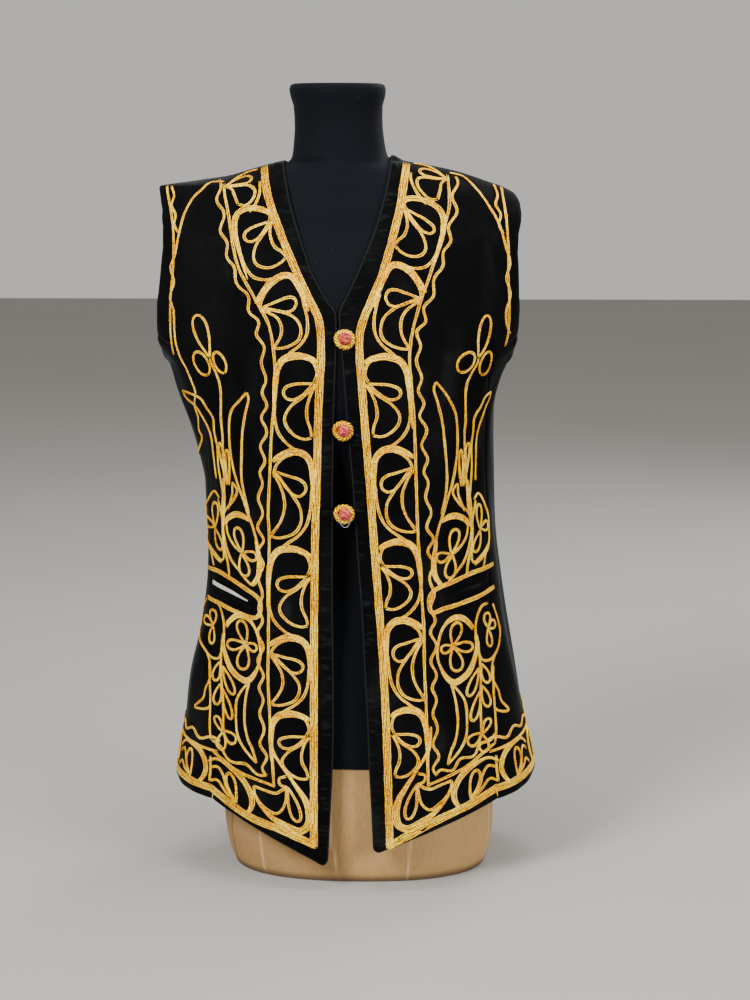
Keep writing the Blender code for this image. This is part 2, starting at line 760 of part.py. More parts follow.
# Border stations at the top of each scroll: inner line x, z, then edge band x, z
STATIONS = {
    -1: ((-120, 743, -85, 759), (-115, 716, -74, 722), (-89, 628, -48, 661), (-68, 567, -23, 571),
         (-73, 469, -29, 472), (-81, 366, -35, 367), (-84, 271, -39, 274), (-85, 190, -42, 192),
         (-84, 112, -43, 113)),
    1: ((114, 753, 77, 765), (116, 718, 71, 735), (93, 640, 54, 672), (72, 566, 26, 571),
        (74, 473, 30, 475), (76, 374, 34, 375), (79, 291, 38, 293), (80, 196, 42, 197),
        (81, 115, 43, 116)),
}
# The same along the hem, from the corner outwards: upper line x, z, then band x, z
HEM_STATIONS = {
    -1: ((-42, 112, -44, 60), (-104, 117, -108, 82), (-149, 139, -149, 107)),
    1: ((42, 115, 44, 62), (100, 122, 104, 90), (149, 150, 149, 111)),
}
# Centre of the edge band from the shoulder to the corner, x and height
BAND_FRONT = {
    -1: ((-79.5, 759.8), (-75, 740), (-70, 721), (-54.5, 679.5), (-33.5, 632), (-20.5, 604),
         (-18.8, 572), (-20.8, 541), (-23.5, 506), (-27.2, 441), (-31.4, 375), (-34.1, 311),
         (-36.2, 248), (-39, 154.5), (-42, 47)),
    1: ((71.8, 763.0), (69, 742), (63, 710), (48, 657), (36, 628), (24.5, 602), (20.8, 578),
        (23.2, 520), (27.2, 440), (30.2, 367), (34.1, 291), (36.7, 227), (38, 155), (38.5, 47)),
}
BAND_HEM = {
    -1: ((-39, 49.5), (-77, 65), (-112.5, 77.3), (-151, 99.5)),
    1: ((35, 49), (58, 61), (91, 77), (124, 90.5), (151.5, 103)),
}
# Inner line of the border, then the line above the hem, x and height
LINE_FRONT = {
    -1: ((-120.5, 741.5), (-119, 730), (-115.3, 714), (-110, 682), (-103, 655), (-86, 624),
         (-72.4, 598), (-67.5, 565), (-68, 527), (-72.5, 490), (-76.5, 448), (-80.5, 405),
         (-80.5, 368), (-84, 267), (-86, 220), (-84, 150), (-83, 110)),
    1: ((114.5, 751), (116, 735), (115.5, 716), (107, 688), (96, 653), (85, 624), (76, 594),
        (72, 567), (73, 540), (75, 500), (75.5, 440), (76, 375), (78, 319), (79.5, 279),
        (79, 240), (80, 197), (80, 154), (80.5, 112)),
}
LINE_HEM = {
    -1: ((-81.5, 111.5), (-112, 120.5), (-132, 129), (-151, 141)),
    1: ((79, 114), (106, 124.5), (125, 133.5), (151.5, 151)),
}
# Middle of the wavy cord, x and height
WAVE = {
    -1: ((-127, 745.5), (-123, 715), (-118, 681), (-106, 646), (-91, 615), (-80, 574), (-79.5, 513),
         (-84, 456), (-88.5, 420), (-90, 351), (-93, 254), (-94, 166), (-91, 122)),
    1: ((123, 749), (121, 716), (113, 679), (101, 645), (91, 617), (81.5, 584), (82, 541),
        (84.5, 491), (86, 440), (88, 395), (89, 330), (89, 279), (89, 182), (89, 124)),
}
WAVE_SWING = 2.6
WAVE_PITCH = 30.0

# Cords of the sprays on the left front, x and height; the right front mirrors them
SPRAY_UPPER = (
    (((-98, 528), (-107, 505), (-113, 470), (-117, 425), (-119, 394)), 7),
    (((-98, 528), (-101, 500), (-104, 460), (-107, 420), (-111, 396)), 7),
    (((-137, 562), (-131, 530), (-128, 480), (-129, 430), (-126, 382)), 7),
)
TREFOIL_LOOPS = ((-146, 583, 9.5, 22, 0.36), (-147, 557, 9, 12.5, -0.25), (-127, 560, 7, 10.5, 0.3))
OVALS = ((-110.5, 360, 17.5, 36.5, 0.10, 6.6), (-113.5, 256, 19.5, 34.5, 0.05, 6.4))
SPRAY_LINKS = (
    (((-128, 396), (-140, 372), (-143, 345)), 4),
)
HORN_LOWER = (
    (((-112, 221), (-121, 198), (-122, 172), (-114, 150), (-101, 136)), 6),
    (((-108, 221), (-105.5, 200), (-108, 178), (-106, 155), (-101, 136)), 5),
)
SPINE_TOP = {-1: 298, 1: 304}
SPINE_LOWER = ((-137, 262), (-140, 220), (-141, 180), (-140, 156))
LEAVES_LOWER = ((-134, 218, 5.0, 13, 0.35), (-146, 198, 5.0, 12, -0.2), (-134, 178, 5.0, 13, 0.35))
# Frame round each pocket, x and height
POCKET_FRAME = {
    -1: (((-149, 331), (-135, 331.5), (-115, 320), (-95.5, 308.5)),
         ((-95.8, 310.5), (-93.5, 298), (-97, 285)),
         ((-94.5, 287), (-118, 291), (-149, 299))),
    1: (((150, 338), (132.6, 333), (110, 326), (88, 318)),
        ((88.4, 320), (86.6, 308), (87.5, 295)),
        ((85.5, 296), (112, 302), (138, 307), (150, 313))),
}
WELT = {
    -1: ((-148, 309.5, 7.5), (-126, 304.5, 7.5), (-102, 296.5, 7.0)),
    1: ((148, 320.5, 7.5), (122, 314.5, 7.5), (96, 306.0, 7.0)),
}
LINING = ((-146, 318.5, 4.5), (-128, 314.0, 4.0), (-106, 306.0, 1.6))

ARM_LINE = {
    -1: ((-184.5, 739.2), (-181, 725), (-177.4, 711), (-174.7, 688), (-174.9, 655), (-177.5, 632),
         (-179.1, 608), (-176, 590), (-169, 575), (-163, 566)),
    1: ((171, 738.2), (173.5, 722), (175.3, 706), (176.8, 675), (176, 648), (176.5, 622),
        (173.5, 600), (168, 583), (163.5, 572)),
}
ARM_ARC = {
    -1: ((-136, 742.5), (-145, 735), (-154, 726.3), (-163, 709.7), (-168.5, 690), (-173, 668)),
    1: ((132, 748.5), (146, 735), (157.8, 718.3), (168.3, 698.7), (174.5, 676)),
}
SIDE_BAND_RISE = 12.0    # centre of the hem band above the side and back hem
NECK_LIFT = 0.6          # the neck band rides higher where the back bends sharply
BAND_END = 4.0           # from the end of a band's centre line to the seam
NECK_BAND_ENDS = (-76, 71)
NECK_BAND_DROP = 14.0    # centre of the neck band below the neckline
NECK_BAND_TOP = 768.0

# Buttons: x, height; then the gold loop round each: x, height
BUTTONS = (("top", 7.0, 585.0, 4.5), ("middle", 3.0, 492.0, 0.5), ("bottom", 1.0, 404.0, -1.0))
BUTTON_RADIUS = 5.8
LOOP_RADIUS = 8.6
LOOP_WIRE = 2.2
BUTTON_LIFT = 7.5        # ball centre in front of the velvet
LOOP_LIFT = 2.3
LOOP_WIDER = 1.1         # a loop is this much wider than it is high


def wavy(rows):
    """Cord that swings either side of a middle line."""
    length = sum(math.dist(a, b) for a, b in zip(rows, rows[1:]))
    waves = round(length / WAVE_PITCH)
    middle = spline([(x, z) for x, z in rows], waves * 2)
    line = []
    for k, p in enumerate(middle):
        ahead = middle[min(k + 1, len(middle) - 1)] - middle[max(k - 1, 0)]
        ahead = ahead / np.linalg.norm(ahead)
        swing = WAVE_SWING if k % 2 else -WAVE_SWING
        line.append((p[0] - ahead[1] * swing, p[1] + ahead[0] * swing, CORD))
    return line


def plain(rows, pieces, width=CORD):
    return spline([(x, z, width) for x, z in rows], pieces)


def border_quads(side, patch):
    quads = patch.stroke(plain(BAND_FRONT[side], 34, BAND))
    quads += patch.stroke(plain(BAND_HEM[side], 7, BAND))
    quads += patch.stroke(plain(LINE_FRONT[side], 30))
    quads += patch.stroke(plain(LINE_HEM[side], 5))
    border = Border(STATIONS[side])
    for k in range(1, 8):
        for line in scroll(border, k, k % 2 == 1):
            quads += patch.stroke(line)
    for line in scroll(border, 0, False, 1.0, SHOULDER_SCROLL):
        quads += patch.stroke(line)
    hem = Border(HEM_STATIONS[side])
    for line in scroll(hem, 0, False, 1.0, HEM_SCROLL):
        quads += patch.stroke(line)
    for line in scroll(hem, 1, True, 0.98, HEM_SCROLL):
        quads += patch.stroke(line)
    return quads


# Half scroll under the shoulder seam and the scrolls along the hem
SHOULDER_SCROLL = (
    (((0.04, 0.16, CORD), (0.30, 0.10, CORD), (0.62, 0.14, CORD), (0.78, 0.26, CORD),
      (0.60, 0.34, CORD), (0.04, 0.22, CORD)), 8),
    (((0.04, 0.22, CORD), (0.44, 0.40, CORD), (0.62, 0.62, CORD), (0.36, 0.86, CORD),
      (0.12, 0.88, CORD)), 6),
    (((0.04, 0.22, CORD), (0.10, 0.55, CORD), (0.12, 0.88, CORD)), 3),
    (((0.98, 0.42, CORD), (0.88, 0.72, CORD), (0.62, 0.98, CORD), (0.44, 1.05, CORD)), 4),
)
HEM_SCROLL = ((ARCH, 8), (HOOK, 9), (LEAF_BACK, 3), (LEAF_BELLY, 6))


def spray_quads(side, patch):
    """Wavy cord, sprays and pocket frame, which touch each other."""
    quads = patch.stroke(wavy(WAVE[side]))
    lines = [plain(rows, pieces) for rows, pieces in SPRAY_UPPER + SPRAY_LINKS + HORN_LOWER]
    lines.append(plain(((-137, SPINE_TOP[side]),) + SPINE_LOWER, 6))
    for x, z, wide, high, turn in TREFOIL_LOOPS:
        lines.append(ring_line((x, z), wide, high, turn, CORD, 8))
    for x, z, wide, high, turn in LEAVES_LOWER:
        lines.append(ring_line((x, z), wide, high, turn, CORD, 6))
    for x, z, wide, high, turn, width in OVALS:
        lines.append(ring_line((x, z), wide, high, turn, width, 12))
    for line in lines:
        quads += patch.stroke(flipped(line, side))
    for rows in POCKET_FRAME[side]:
        quads += patch.stroke(plain(rows, 4, 5.6))
    return quads


def ornament(side, collection, gold):
    patch = Patch("front")
    word = "left" if side < 0 else "right"
    raised("braid_border_" + word, patch, border_quads(side, patch), gold, collection)
    raised("braid_spray_" + word, patch, spray_quads(side, patch), gold, collection)
    quads = patch.stroke(plain(ARM_LINE[side], 12, 4.0))
    quads += patch.stroke(plain(ARM_ARC[side], 8))
    raised("braid_armhole_" + word, patch, quads, gold, collection)


def hem_height(side, y):
    """Height of the side panel's hem over depth."""
    front = SEAM_HEIGHT[side][0]
    back = SIDE_BACK_HEIGHT[side][0]
    y_front = seam_point(side, front)[1]
    y_back = table_at(BACK_SEAM, back)
    return front + (back - front) * (y - y_front) / (y_back - y_front)


def hem_bands(collection, gold):
    """The edge band carried round the side panels, the back hem and the back neck."""
    for side in (-1, 1):
        word = "left" if side < 0 else "right"
        patch = Patch("side", side)
        y_front = seam_point(side, SEAM_HEIGHT[side][0] + SIDE_BAND_RISE)[1] + BAND_END
        y_back = table_at(BACK_SEAM, SIDE_BACK_HEIGHT[side][0] + SIDE_BAND_RISE) - BAND_END
        rows = [(y, hem_height(side, y) + SIDE_BAND_RISE, BAND)
                for y in np.linspace(y_front, y_back, 9)]
        raised("braid_hem_side_" + word, patch, patch.stroke(rows), gold, collection)
    patch = Patch("back")
    half, base = {}, {}
    for side in (-1, 1):
        base[side] = SIDE_BACK_HEIGHT[side][0] + SIDE_BAND_RISE
        depth = table_at(BACK_SEAM, base[side]) + BAND_END + 1.0
        half[side] = abs(VEST.from_side(depth, base[side], side)[0])
    rows = []
    for k in range(15):
        share = 0.5 * (1 - math.cos(math.pi * k / 14))
        rows.append((-half[-1] + (half[-1] + half[1]) * share,
                     base[-1] + (base[1] - base[-1]) * share, BAND))
    raised("braid_hem_back", patch, patch.stroke(rows), gold, collection)
    rows = []
    first, last = NECK_BAND_ENDS
    for k in range(13):
        x = first + (last - first) * 0.5 * (1 - math.cos(math.pi * k / 12))
        neck = SHOULDER[-1 if x < 0 else 1][0][0]
        share = min(abs(x) / (neck + NECK_BAND_DROP), 1.0)
        height = shoulder_height(x) if share >= 1 else NECK_BAND_TOP
        middle = 770.0 - NECK_DIP - NECK_BAND_DROP
        rows.append((x, middle + (height - 5 - middle) * share ** 2.6, BAND))
    raised("braid_neck_back", patch, patch.stroke(rows), gold, collection,
           RAISE_LOW + NECK_LIFT, RAISE_HIGH + NECK_LIFT)


def fastenings(collection, thread, gold):
    for word, x, z, loop_x in BUTTONS:
        hub = VEST.from_front(x, z)
        out = VEST.normal(hub)
        up = np.array((0.0, 0.0, 1.0))
        up = up - out * out[2]
        up /= np.linalg.norm(up)
        aside = np.cross(up, out) * -1.0
        aside *= math.copysign(1.0, aside[0])
        work = bmesh.new()
        bmesh.ops.create_uvsphere(work, u_segments=10, v_segments=7, radius=BUTTON_RADIUS)
        points = [hub + out * BUTTON_LIFT + np.array(v.co) for v in work.verts]
        faces = [tuple(v.index for v in f.verts) for f in work.faces]
        work.free()
        build("button_" + word, points, faces, thread, collection)
        points, faces = [], []
        around, across = 14, 5
        middle = VEST.from_front(loop_x, z - 0.8) + out * LOOP_LIFT
        for a in range(around):
            turn = 2 * math.pi * a / around
            for b in range(across):
                roll = 2 * math.pi * b / across
                reach = LOOP_RADIUS + LOOP_WIRE * math.cos(roll)
                points.append(middle + aside * LOOP_WIDER * reach * math.cos(turn)
                              + up * reach * math.sin(turn) + out * LOOP_WIRE * math.sin(roll))
                a2, b2 = (a + 1) % around, (b + 1) % across
                faces.append((a * across + b, a2 * across + b, a2 * across + b2, a * across + b2))
        build("loop_" + word, points, faces, gold, collection)


def main():
    for thing in list(bpy.data.objects):
        bpy.data.objects.remove(thing, do_unlink=True)
    collection = bpy.data.collections.new("embroidered_folk_vest")
    bpy.context.scene.collection.children.link(collection)

    velvet = paint("black_velvet", (0.012, 0.013, 0.016), 0.85, 0.6)
    gold = paint("gold_cord", (0.75, 0.46, 0.12), 0.5)
    jersey = paint("black_jersey", (0.018, 0.020, 0.027), 0.9)
    canvas = paint("tan_canvas", (0.55, 0.36, 0.19), 0.75)
    rose = paint("rose_thread", (0.62, 0.16, 0.22), 0.7)
    lining = paint("pale_lining", (0.70, 0.66, 0.60), 0.9)

    make_form(canvas, jersey, collection)
    for side, word in ((-1, "left"), (1, "right")):
        sheet("front_" + word, front_grid(side), velvet, collection)
        sheet("side_" + word, side_grid(side), velvet, collection)
        ornament(side, collection, gold)
        raised("pocket_welt_" + word, Patch("front"),
               Patch("front").stroke(spline(WELT[side], 5)), velvet, collection, RAISE_LOW, 1.8)
    sheet("back", back_grid(), velvet, collection)
    raised("pocket_lining_left", Patch("front"), Patch("front").stroke(spline(LINING, 5)),
           lining, collection, RAISE_LOW, 1.2)
    hem_bands(collection, gold)
    fastenings(collection, rose, gold)


main()
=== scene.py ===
# %% [markdown]
# # An embroidered folk vest on its dress form
#
# The vest is long, black and sleeveless, of cotton velvet with gold cord sewn on it.
# It hangs on a limbless form of paper and canvas in a tight knitted cover.
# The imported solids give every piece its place. This file gives the finish: soft
# creases in the velvet, each gold strand as its own cord, knit, canvas and thread.

import math

import bpy
import numpy as np
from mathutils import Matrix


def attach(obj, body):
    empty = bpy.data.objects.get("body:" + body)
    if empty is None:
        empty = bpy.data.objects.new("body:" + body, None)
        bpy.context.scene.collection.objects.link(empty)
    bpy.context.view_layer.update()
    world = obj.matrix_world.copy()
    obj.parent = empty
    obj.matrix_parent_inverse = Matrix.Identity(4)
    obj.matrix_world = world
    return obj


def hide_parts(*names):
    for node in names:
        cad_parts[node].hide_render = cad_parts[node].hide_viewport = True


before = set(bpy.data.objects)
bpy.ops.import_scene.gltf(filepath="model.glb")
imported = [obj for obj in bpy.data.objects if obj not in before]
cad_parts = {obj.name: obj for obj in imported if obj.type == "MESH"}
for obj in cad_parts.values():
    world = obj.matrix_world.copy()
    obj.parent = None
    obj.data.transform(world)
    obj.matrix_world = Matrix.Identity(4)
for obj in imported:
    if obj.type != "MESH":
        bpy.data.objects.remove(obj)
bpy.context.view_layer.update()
print("frame nodes:", len(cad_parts))

# %% [markdown]
# ## One surface for cloth and cords
#
# A hanging vest could be simulated, but its cut would slide away from the seams.
# Here the cloth is laid on a stack of rings with a smooth profile, the same rings
# as the solids have, so a cord can be drawn on it with two flat coordinates.
# Tables are in millimetres. The form leans a little, so a last step shears all
# points sideways.

# %% Sizes shared with the solids
MM = 0.001
LEAN = -0.028
VELVET = 0.0020          # metres, velvet with its backing
SEAM_GAP = 0.4

# height, left half width, right half width, front depth, back depth, squareness
VEST_RINGS = (
    (774, 46, 55, 53, 55, 1.90),
    (766.5, 61, 68, 56, 59, 1.60),
    (763, 75, 88, 58, 61, 1.50),
    (757, 97, 118, 61, 64, 1.45),
    (751, 118, 139, 64, 68, 1.45),
    (745, 157, 156, 67, 71, 1.50),
    (739, 195, 173, 69, 74, 1.60),
    (731, 199, 187, 72, 77, 1.75),
    (720, 202, 197, 76, 81, 1.95),
    (702, 205, 204, 82, 87, 2.20),
    (675, 206, 203, 93, 93, 2.35),
    (646, 207, 201, 104, 98, 2.40),
    (617, 209, 199, 112, 102, 2.40),
    (588, 206, 193, 119, 104, 2.40),
    (565, 198, 183, 123, 105, 2.40),
    (551, 189, 173, 125, 105, 2.40),
    (525, 181, 163, 127, 103, 2.40),
    (500, 174, 159, 127, 101, 2.40),
    (449, 161, 158, 124, 95, 2.40),
    (423, 157, 158, 122, 93, 2.40),
    (376, 157, 159, 120, 92, 2.40),
    (319, 159, 163, 121, 98, 2.40),
    (269, 166, 168.5, 124, 104, 2.40),
    (230, 176, 174, 126, 109, 2.40),
    (200, 182, 179, 128, 113, 2.40),
    (160, 188, 186, 131, 118, 2.40),
    (124, 196, 193, 134, 122, 2.40),
    (98, 200, 196, 135, 124, 2.40),
    (20, 206, 202, 139, 128, 2.40),
)
FORM_RINGS = (
    (800, 47, 47, 47, 47, 2.00),
    (785, 48.5, 48.5, 48.5, 49, 2.00),
    (770, 51, 52, 51, 52, 1.95),
    (765, 55, 61, 52.5, 53, 1.65),
    (761, 66, 78, 55, 55, 1.50),
    (755.2, 87, 107, 57, 57.5, 1.45),
    (749.2, 110, 131, 59.5, 62, 1.45),
    (743.2, 134, 146, 62.5, 65, 1.50),
    (736.2, 155, 158, 64.5, 68, 1.60),
    (727.6, 165, 165, 67.5, 71, 1.75),
    (717, 170, 170, 71.5, 74.5, 1.95),
    (698, 172, 172, 78, 81, 2.20),
    (670, 170, 168, 90, 89, 2.35),
    (645, 166, 163, 100, 94, 2.40),
    (615, 161, 158, 108, 98, 2.40),
    (585, 156, 153, 115, 100, 2.40),
    (550, 150, 146, 120, 100, 2.40),
    (520, 144, 140, 121, 97, 2.40),
    (490, 137, 133, 117, 91, 2.40),
    (450, 127, 125, 106, 84, 2.40),
    (410, 119, 119, 96, 79, 2.40),
    (370, 117, 118, 91, 78, 2.40),
    (330, 121, 122, 93, 83, 2.40),
    (280, 131, 131, 100, 92, 2.40),
    (230, 141, 141, 107, 100, 2.40),
    (180, 147, 147, 112, 105, 2.40),
    (129, 150, 150, 115, 108, 2.40),
    (90, 151, 151, 116, 109, 2.40),
    (45, 150, 150, 115, 108, 2.40),
    (22, 147, 147, 112, 105, 2.40),
    (7, 143, 143, 109, 102, 2.40),
    (0, 140, 140, 106, 99, 2.40),
)
NECK_CAP = ((800, 47.0), (812, 46.9), (824, 47.5), (834, 50.5), (841, 51.5), (845.5, 50.0),
            (847, 46.5))


class Skin:
    """A stack of superellipse rings; every call takes arrays of millimetres."""

    def __init__(self, rings):
        table = np.array(sorted(rings), float)
        self.heights = table[:, 0]
        self.columns = table[:, 1:]
        steps = np.diff(self.heights)[:, None]
        rises = np.diff(self.columns, axis=0) / steps
        self.slopes = np.zeros_like(self.columns)
        before, after = rises[:-1], rises[1:]
        weight_1 = 2 * steps[1:] + steps[:-1]
        weight_2 = steps[1:] + 2 * steps[:-1]
        same = before * after > 0
        safe_before = np.where(same, before, 1.0)
        safe_after = np.where(same, after, 1.0)
        mean = (weight_1 + weight_2) / (weight_1 / safe_before + weight_2 / safe_after)
        self.slopes[1:-1] = np.where(same, mean, 0.0)
        self.slopes[0], self.slopes[-1] = rises[0], rises[-1]

    def ring(self, z):
        """Left, right, front, back and squareness at each height."""
        h = np.clip(np.asarray(z, float), self.heights[0], self.heights[-1])
        k = np.clip(np.searchsorted(self.heights, h, side="right") - 1, 0, len(self.heights) - 2)
        step = (self.heights[k + 1] - self.heights[k])[..., None]
        t = (h - self.heights[k])[..., None] / step
        return np.moveaxis(
            (2 * t ** 3 - 3 * t ** 2 + 1) * self.columns[k]
            + (t ** 3 - 2 * t ** 2 + t) * step * self.slopes[k]
            + (3 * t ** 2 - 2 * t ** 3) * self.columns[k + 1]
            + (t ** 3 - t ** 2) * step * self.slopes[k + 1], -1, 0)

    def level(self, p):
        left, right, front, back, square = self.ring(p[..., 2])
        wide = np.where(p[..., 0] < 0, left, right)
        deep = np.where(p[..., 1] < 0, front, back)
        return (np.abs(p[..., 0]) / wide) ** square + (np.abs(p[..., 1]) / deep) ** square

    def normal(self, p):
        rise = np.stack([self.level(p + 0.4 * axis) - self.level(p - 0.4 * axis)
                         for axis in np.eye(3)], axis=-1)
        return rise / np.linalg.norm(rise, axis=-1, keepdims=True)

    def on_face(self, x, z, side=-1):
        """Points on the front (side -1) or back (side 1) over x and height."""
        left, right, front, back, square = self.ring(z)
        share = np.minimum(np.abs(x) / np.where(np.asarray(x) < 0, left, right), 1.0)
        deep = front if side < 0 else back
        y = side * deep * (1 - share ** square) ** (1 / square)
        return np.stack(np.broadcast_arrays(x, y, z), axis=-1).astype(float)

    def on_side(self, y, z, side):
        """Points on the left (side -1) or right (side 1) over depth and height."""
        left, right, front, back, square = self.ring(z)
        share = np.minimum(np.abs(y) / np.where(np.asarray(y) < 0, front, back), 1.0)
        wide = left if side < 0 else right
        x = side * wide * (1 - share ** square) ** (1 / square)
        return np.stack(np.broadcast_arrays(x, y, z), axis=-1).astype(float)

    def around(self, turn, z):
        """Points at a turn of 0 to 1 round the ring, from the front centre towards +x."""
        left, right, front, back, square = self.ring(z)
        c, s = np.cos(2 * math.pi * turn), np.sin(2 * math.pi * turn)
        wide = np.where(s >= 0, right, left)
        deep = np.where(c >= 0, front, back)
        x = wide * np.sign(s) * np.abs(s) ** (2 / square)
        y = -deep * np.sign(c) * np.abs(c) ** (2 / square)
        return np.stack(np.broadcast_arrays(x, y, z), axis=-1).astype(float)


VEST = Skin(VEST_RINGS)
FORM = Skin(FORM_RINGS)


def placed(points):
    """Millimetre points to metres, with the lean put in."""
    p = np.array(points, float)
    p[..., 0] += LEAN * p[..., 2]
    return p * MM


def blend(a, b, c, d, t):
    """Smooth step t from b to c, with a before them and d after."""
    return 0.5 * (2 * b + (c - a) * t + (2 * a - 5 * b + 4 * c - d) * t ** 2
                  + (3 * b - a - 3 * c + d) * t ** 3)


def spline(rows, pieces):
    """Smooth curve through table rows, cut into equal pieces along its length."""
    p = np.array(rows, float)
    if len(p) == 2:
        return p[0] + (p[1] - p[0]) * np.linspace(0, 1, pieces + 1)[:, None]
    ends = np.vstack((2 * p[0] - p[1], p, 2 * p[-1] - p[-2]))
    t = np.linspace(0, 1, 24, endpoint=False)[:, None]
    fine = [blend(*ends[k - 1:k + 3], t) for k in range(1, len(ends) - 2)]
    fine = np.vstack(fine + [p[-1:]])
    run = np.concatenate(((0,), np.cumsum(np.linalg.norm(np.diff(fine[:, :2], axis=0), axis=1))))
    marks = np.linspace(0, run[-1], pieces + 1)
    return np.stack([np.interp(marks, run, fine[:, k]) for k in range(fine.shape[1])], axis=1)


def at_row(table, rows):
    """Smooth values between the rows of a table, at row numbers with a fraction."""
    p = np.array(table, float)
    ends = np.vstack((2 * p[0] - p[1], p, 2 * p[-1] - p[-2]))
    k = np.clip(np.floor(rows).astype(int), 0, len(p) - 2)
    t = (rows - k)[:, None]
    return blend(ends[k], ends[k + 1], ends[k + 2], ends[k + 3], t)


def table_at(table, key):
    """Value at a key, on straight lines between the rows of a two-column table."""
    t = np.array(sorted(table), float)
    return np.interp(key, t[:, 0], t[:, 1])


print("rings of vest and form:", len(VEST_RINGS), len(FORM_RINGS))

# %% [markdown]
# ## Creases
#
# Velvet on a backing falls in broad shallow folds. They are listed: each
# row below is one soft trough (minus) or ridge (plus), with its turn round the
# body in degrees from the front centre. Cords and cloth both read them, so a cord
# always lies on its cloth.

# %% Creases of the velvet
# turn, height, half length, half width, depth, tilt in degrees
CREASES = (
    (-84, 330, 95, 13, -2.2, 6), (-97, 300, 120, 15, 2.0, -3), (-74, 235, 80, 11, 1.6, 9),
    (-108, 250, 110, 14, -2.0, 2), (-66, 468, 60, 12, -1.4, -14), (-58, 610, 50, 16, -1.6, 32),
    (-78, 520, 46, 10, 1.5, -24), (-40, 690, 46, 14, 1.2, 40), (-36, 405, 70, 20, -0.9, 8),
    (-22, 180, 90, 17, 0.9, -4), (-52, 150, 60, 15, -1.4, 10), (-44, 300, 60, 18, 0.8, -8),
    (86, 325, 100, 13, -2.0, -6), (98, 285, 110, 15, 1.9, 4), (76, 240, 85, 12, 1.4, -9),
    (109, 250, 110, 14, -2.1, -2), (68, 470, 55, 12, -1.5, 15), (60, 612, 50, 15, -1.5, -30),
    (79, 525, 44, 10, 1.4, 22), (42, 690, 44, 14, 1.1, -38), (38, 400, 70, 19, -0.8, -8),
    (24, 185, 90, 17, 0.8, 4), (53, 150, 60, 15, -1.3, -10), (45, 300, 60, 17, 0.8, 9),
    (180, 640, 60, 26, -1.6, 0), (160, 420, 110, 15, 1.6, 5), (199, 415, 100, 16, 1.7, -6),
    (178, 360, 120, 13, -1.8, 2), (142, 300, 120, 14, -2.2, 6), (219, 290, 120, 14, -2.1, -5),
    (128, 240, 100, 12, 2.0, 4), (232, 236, 100, 12, 1.9, -4), (168, 205, 90, 14, 1.8, -3),
    (192, 190, 90, 15, -1.7, 4), (148, 160, 70, 12, 1.5, 5), (212, 165, 70, 13, 1.6, -5),
    (136, 560, 60, 13, -1.8, -26), (224, 566, 60, 13, -1.7, 24), (150, 700, 40, 16, 1.3, -40),
    (210, 700, 40, 16, 1.2, 40), (118, 130, 50, 10, 1.3, 0), (242, 132, 50, 10, 1.3, 0),
)
GIRTH_RADIUS = 148.0     # turns are read on a circle of this radius
CREASE_DEPTH = 1.3       # scale of all depths in the table
CREASE_BEND = 0.0012     # how far a crease curves away from its straight line
RIPPLE = 0.45            # height of the slow unevenness between the creases
CALM_FROM, CALM_TO = 752, 774   # heights over which the shoulders lie flatter


def crease(p):
    """Outward lift of the velvet in millimetres at each point."""
    turn = np.degrees(np.arctan2(p[..., 0], -p[..., 1]))
    lift = np.zeros(turn.shape)
    for at, height, length, width, depth, tilt in CREASES:
        across = ((turn - at + 180) % 360 - 180) * math.pi / 180 * GIRTH_RADIUS
        up = p[..., 2] - height
        c, s = math.cos(math.radians(tilt)), math.sin(math.radians(tilt))
        a, b = across * c - up * s, across * s + up * c
        bend = a - CREASE_BEND * b * b * math.copysign(1, depth)
        lift += CREASE_DEPTH * depth * np.exp(-(bend / width) ** 2 - (b / length) ** 2)
    z = p[..., 2]
    lift += RIPPLE * np.sin(z / 23 + turn / 9) * np.sin(turn / 5.3 - z / 61)
    calm = np.clip((CALM_FROM - z) / 40, 0, 1) * np.clip((CALM_TO - z) / 30, 0.15, 1)
    return lift * calm


def on_cloth(p, lift=0.0):
    """Base points moved out to the creased velvet, and further by lift."""
    return p + VEST.normal(p) * (crease(p) + lift)[..., None]


print("creases:", len(CREASES))

# %% [markdown]
# ## Edges and seams of the pattern
#
# A vest of this kind is cut in two fronts, two side panels and a back. The tables
# give the opening edge, the armholes and the seams, and one function walks along
# each, so that two panels that meet use the same curve.

# %% Outlines of the panels
# x and height of the opening edge, hem to neck point
FRONT_EDGE = {
    -1: ((-28, 25), (-25.4, 60), (-22.6, 95), (-20, 130), (-18, 165), (-17, 200), (-16.2, 235),
         (-15.7, 270), (-15.1, 305), (-14.2, 340), (-13, 375), (-11.8, 410), (-10.6, 440),
         (-9.3, 470), (-7.8, 500), (-5.9, 530), (-4.4, 555), (-3.2, 582), (-2.9, 610),
         (-10, 622), (-19, 637), (-28, 655), (-36.5, 680), (-44, 704), (-49.5, 724), (-53, 741),
         (-56, 753), (-58.4, 762), (-59.2, 766), (-59.4, 767.1)),
    1: ((20.5, 40), (20, 68), (19.3, 100), (18.5, 132), (18, 165), (17.4, 200), (16.4, 235),
        (15.6, 270), (14.6, 305), (13, 340), (11.5, 375), (10.2, 410), (9.2, 440), (7.4, 470),
        (5.8, 500), (4.3, 530), (3.1, 555), (1.6, 582), (0.5, 611), (9, 630), (18, 648),
        (27, 668), (36, 689), (43.5, 711), (49.5, 732), (53.2, 748), (55.2, 760), (56, 768),
        (56.2, 772), (56.3, 773.2)),
}
